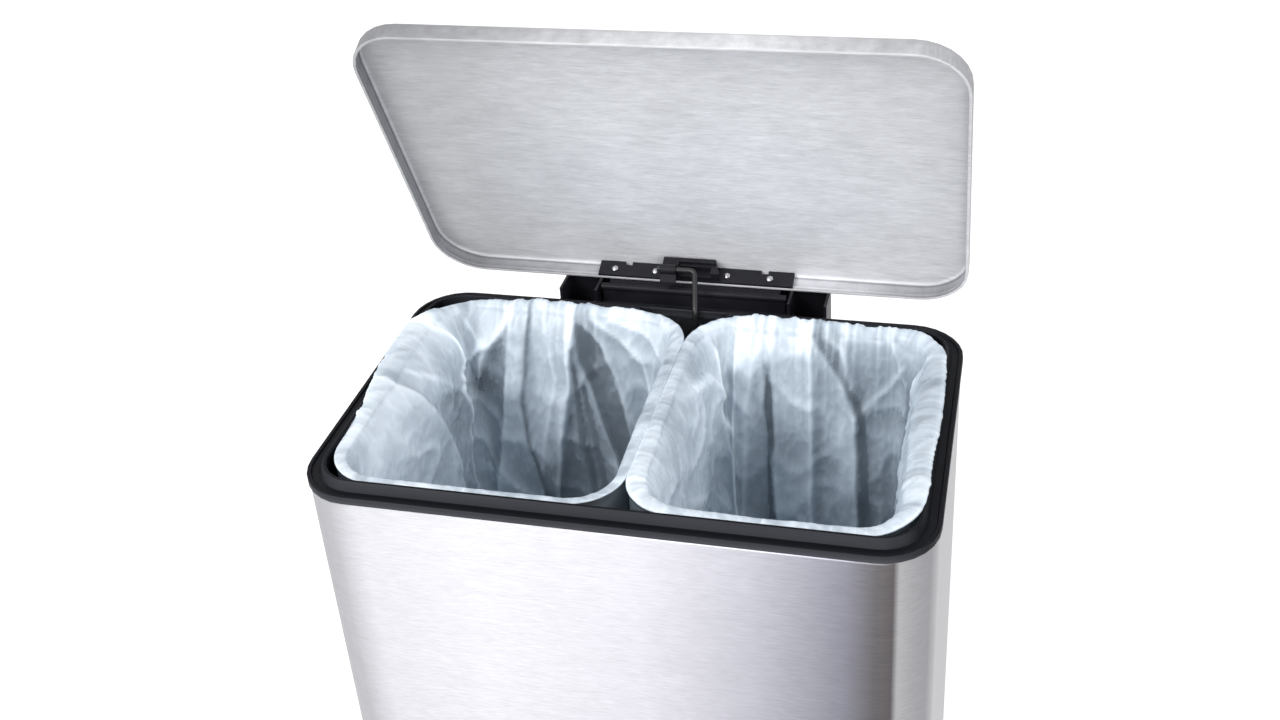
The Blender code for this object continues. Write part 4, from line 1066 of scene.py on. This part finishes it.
class Liner:
    """A liner bag in the making: what varies round it, and its rows from cuff to floor."""

    def __init__(self, place):
        self.place = place
        self.seed = place["seed"]
        self.folds = list(place["folds"])
        for points, crest_light, shade_and_light in place["patches"]:
            self.folds.append((points, 0.0, patch_widths, crest_light, (shade_and_light, shade_and_light)))
        self.half = (place["half"], rim_half_depth)
        runs = girth_runs(self.half, rim_corner)
        self.girth = runs.sum()
        starts = np.concatenate([[0.0], np.cumsum(runs)])
        self.along = np.arange(around_steps) * self.girth / around_steps
        self.run = np.searchsorted(starts, self.along, side="right") - 1
        self.share_of_run = (self.along - starts[self.run]) / runs[self.run]
        # The place along the back wall is carried on round the corners and the sides.
        self.back_place = place["centre"] + self.girth / 2 - self.along
        turn = self.along / self.girth * 2 * math.pi
        self.ring = np.stack([np.cos(turn), np.sin(turn)], 1)
        self.wave = self.ring_noise("slow_wave") * wave_shares[0]
        self.wave = self.wave + self.ring_noise("quick_wave") * wave_shares[1]
        self.pucker = self.ring_noise("slow_pucker") * pucker_shares[0]
        self.pucker = self.pucker + self.ring_noise("quick_pucker") * pucker_shares[1]
        self.find_walls()
        self.shape_rim()

    def ring_noise(self, kind):
        return ripple(self.ring, kind, self.seed)

    def ground(self, inset):
        return on_ground(self.half, rim_corner, self.run, self.share_of_run, inset)

    def find_walls(self):
        """How much each step is of the rear wall, of the left wall and of the gathered film."""
        rim = self.ground(np.zeros(around_steps))
        left_edge = self.half[0]
        self.rear = smooth(rim[:, 1], *rear_wall)
        self.left = smooth(-rim[:, 0], left_edge - left_wall_start, left_edge - left_wall_full)
        low, high = self.place["gather"]
        self.gathered = smooth(self.back_place, low - gather_fade, low)
        self.gathered = self.gathered * smooth(-self.back_place, -high - gather_fade, -high)
        tuck = np.clip(tuck_level + tuck_swing * self.ring_noise("tuck"), 0.0, 1.0)
        self.tuck = self.gathered * tuck

    def rim_row(self, name):
        """A row of the rim at every step, varied by the wave and the pucker."""
        stations = [station / rim_hundredths * self.girth for station in self.place["rim"]["stations"]]
        wave_share, pucker_share = rim_shares[name]
        row = np.interp(self.along, stations, self.place["rim"][name])
        return row * (1.0 + wave_share * self.wave + pucker_share * self.pucker)

    def shape_rim(self):
        """How the film spreads, rolls, stands up and leans at each step of the rim."""
        self.outward = np.minimum(self.rim_row("outward"), widest_spread)
        self.roll = self.rim_row("roll")
        self.lift = self.rim_row("lift") + tuck_lift * self.tuck
        self.slope = self.rim_row("slope")
        self.lean = self.rim_row("lean")
        self.edge_rise = lip_clearance * smooth(self.outward, *lip_spread)

    def cuff_rows(self):
        """The film outside the bucket, up to the rim."""
        rows = []
        for share in cuff_row_shares:
            height = cuff_foot + (rim_top - cuff_foot) * share
            rows.append((np.full(around_steps, -film_gap), height, cuff_cover))
        return rows

    def rim_rows(self, wall_top, wall_cover):
        """The film from the cuff, out over the rim and in to the top of the wall."""
        rows = []
        thin = 1.0 - edge_thinning * smooth(-self.outward, *edge_thin_spread)
        for share in edge_row_shares:
            height = rim_top + self.edge_rise * share**edge_power
            rows.append((-film_gap - self.outward * share, height, edge_cover * thin))
        reach = np.maximum(wall_top + film_gap + self.outward, least_reach)
        for turn_over in np.linspace(0.0, math.pi, roll_steps)[1:]:
            part = (1 - math.cos(turn_over)) / 2
            inset = -film_gap - self.outward + reach * part
            cells = np.stack([self.along + crumple_slant * inset, crumple_stretch * inset], 1)
            crumple = creases(cells, "crumple", self.seed)
            height = rim_top + self.edge_rise * (1 - part**roll_fall_power) - wall_drop * part
            height = height + self.lift * math.sin(turn_over) ** roll_lift_power
            height = height + crumple_height * crumple * math.sin(turn_over)
            # A painted highlight runs along the roll's outer edge, and painted glints lie on its
            # crumples.
            cover = wall_cover + rim_edge_highlight * math.exp(-((part / rim_edge_highlight_share) ** 2))
            cover = cover + rim_pucker_cover * self.pucker + rim_wave_cover * self.wave
            cover = cover + rim_crumple_glint * crumple - rim_cover_loss
            rows.append((inset, height, cover))
        return rows

    def wall_row(self, share):
        """One row of the film inside the bucket: its inset, its height, and its coverage with painted
        light and shade.
        """
        depth = rim_top - bag_floor
        down = depth * share
        height = rim_top - wall_drop - (depth - wall_drop) * share
        leaning = (1.0 - math.exp(-down / lean_start)) * math.exp(-((down / lean_depth) ** 2))
        inset = wall_inset_top + (wall_inset_foot - wall_inset_top) * share
        inset = inset + self.roll * np.exp(-((down / self.slope) ** 2)) + self.lean * leaning
        cells = np.stack([self.along, np.full(around_steps, down)], 1)
        broad = ripple(cells, "broad", self.seed)
        sharp = creases(cells, "sharp", self.seed) ** 2
        fine = creases(cells, "fine", self.seed) ** 2
        # Painted light brightens the left walls, the more so from a little below the rim.
        left_light = left_wall_light + left_wall_light_gain * smooth(down, *left_wall_light_depths)
        cover = wall_cover_top - wall_cover_loss * smooth(down, *wall_cover_depths)
        cover = cover + self.left * left_light
        cover = cover + rear_cover * self.rear * math.exp(-down / rear_cover_depth)
        stand = np.zeros(around_steps)
        swayed = self.back_place + fold_sway * broad
        for fold in self.folds:
            fold_lift, fold_veil_and_light = fold_shape(swayed, down, fold)
            stand = stand + fold_lift
            cover = cover + fold_veil_and_light_share * fold_veil_and_light
        stand = stand + self.tuck * tuck_stand * math.exp(-down / tuck_stand_depth)
        tuck = self.tuck - tuck_cover_loss * self.gathered
        cover = cover + tuck_cover * tuck * math.exp(-down / tuck_cover_depth)
        # Painted highlights run along the sharp and fine creases; the broad noise shifts the tone at
        # random.
        cover = cover + sharp_crease_highlight * sharp + fine_crease_highlight * fine + broad_cover * broad
        cover = np.clip(cover + cover_shift, least_cover, most_cover)
        sag = sag_level + sag_broad * broad + sag_sharp * sharp + sag_fine * fine
        sag = sag * smooth(down, *sag_depths)
        calm = 1.0 - calm_share * smooth(down, *calm_depths)
        stand = np.maximum((stand * smooth(down, *fold_start) + sag) * calm, film_gap)
        return inset + stand, height, cover

    def foot_rows(self, last_inset, last_cover):
        """The film that closes in over the bucket's floor."""
        rows = []
        foot_inset = min(self.half) - foot_opening
        for share in foot_row_shares:
            inset = last_inset + (foot_inset - last_inset) * share
            rows.append((inset, bag_floor + foot_rise * (1 - share), last_cover))
        return rows

    def rows(self):
        """All rows of the film, each with its inset, its height, and its coverage with painted light and
        shade.
        """
        wall = [self.wall_row(share) for share in np.linspace(0.0, 1.0, wall_rows) ** wall_row_power]
        top, last = wall[0], wall[-1]
        rim = self.rim_rows(top[0], top[2])
        return self.cuff_rows() + rim + wall[1:] + self.foot_rows(last[0], last[2])


def film_mesh(name, liner):
    """The mesh of a bag: its rows joined by quads, its floor closed, and its coverage with painted light
    and shade at each point.
    """
    grid, covers_and_light = [], []
    for inset, height, cover in liner.rows():
        ground = liner.ground(inset)
        height = np.broadcast_to(height, around_steps)
        grid.append(np.column_stack([ground[:, 0] + liner.place["centre"], ground[:, 1], height]))
        covers_and_light.append(np.broadcast_to(cover, around_steps))
    last_row = (len(grid) - 1) * around_steps
    faces = []
    for here in range(0, last_row, around_steps):
        there = here + around_steps
        for step in range(around_steps):
            after = (step + 1) % around_steps
            faces.append((here + step, here + after, there + after, there + step))
    faces.append(tuple(last_row + step for step in range(around_steps)))
    mesh = bpy.data.meshes.new(name)
    mesh.from_pydata(np.concatenate(grid).tolist(), [], faces)
    mesh.polygons.foreach_set("use_smooth", [True] * len(faces))
    cover_of_film = mesh.attributes.new("cover", "FLOAT", "POINT")
    cover_of_film.data.foreach_set("value", np.concatenate(covers_and_light).astype(np.float32))
    return mesh


for side, place in bags.items():
    bag_name = f"{side}_liner_bag"
    bag = bpy.data.objects.new(bag_name, film_mesh(bag_name, Liner(place)))
    bpy.context.scene.collection.objects.link(bag)
    dress(bag, film_finish)
    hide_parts(f"{side}_bag")
    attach(bag, f"liner_{side}")
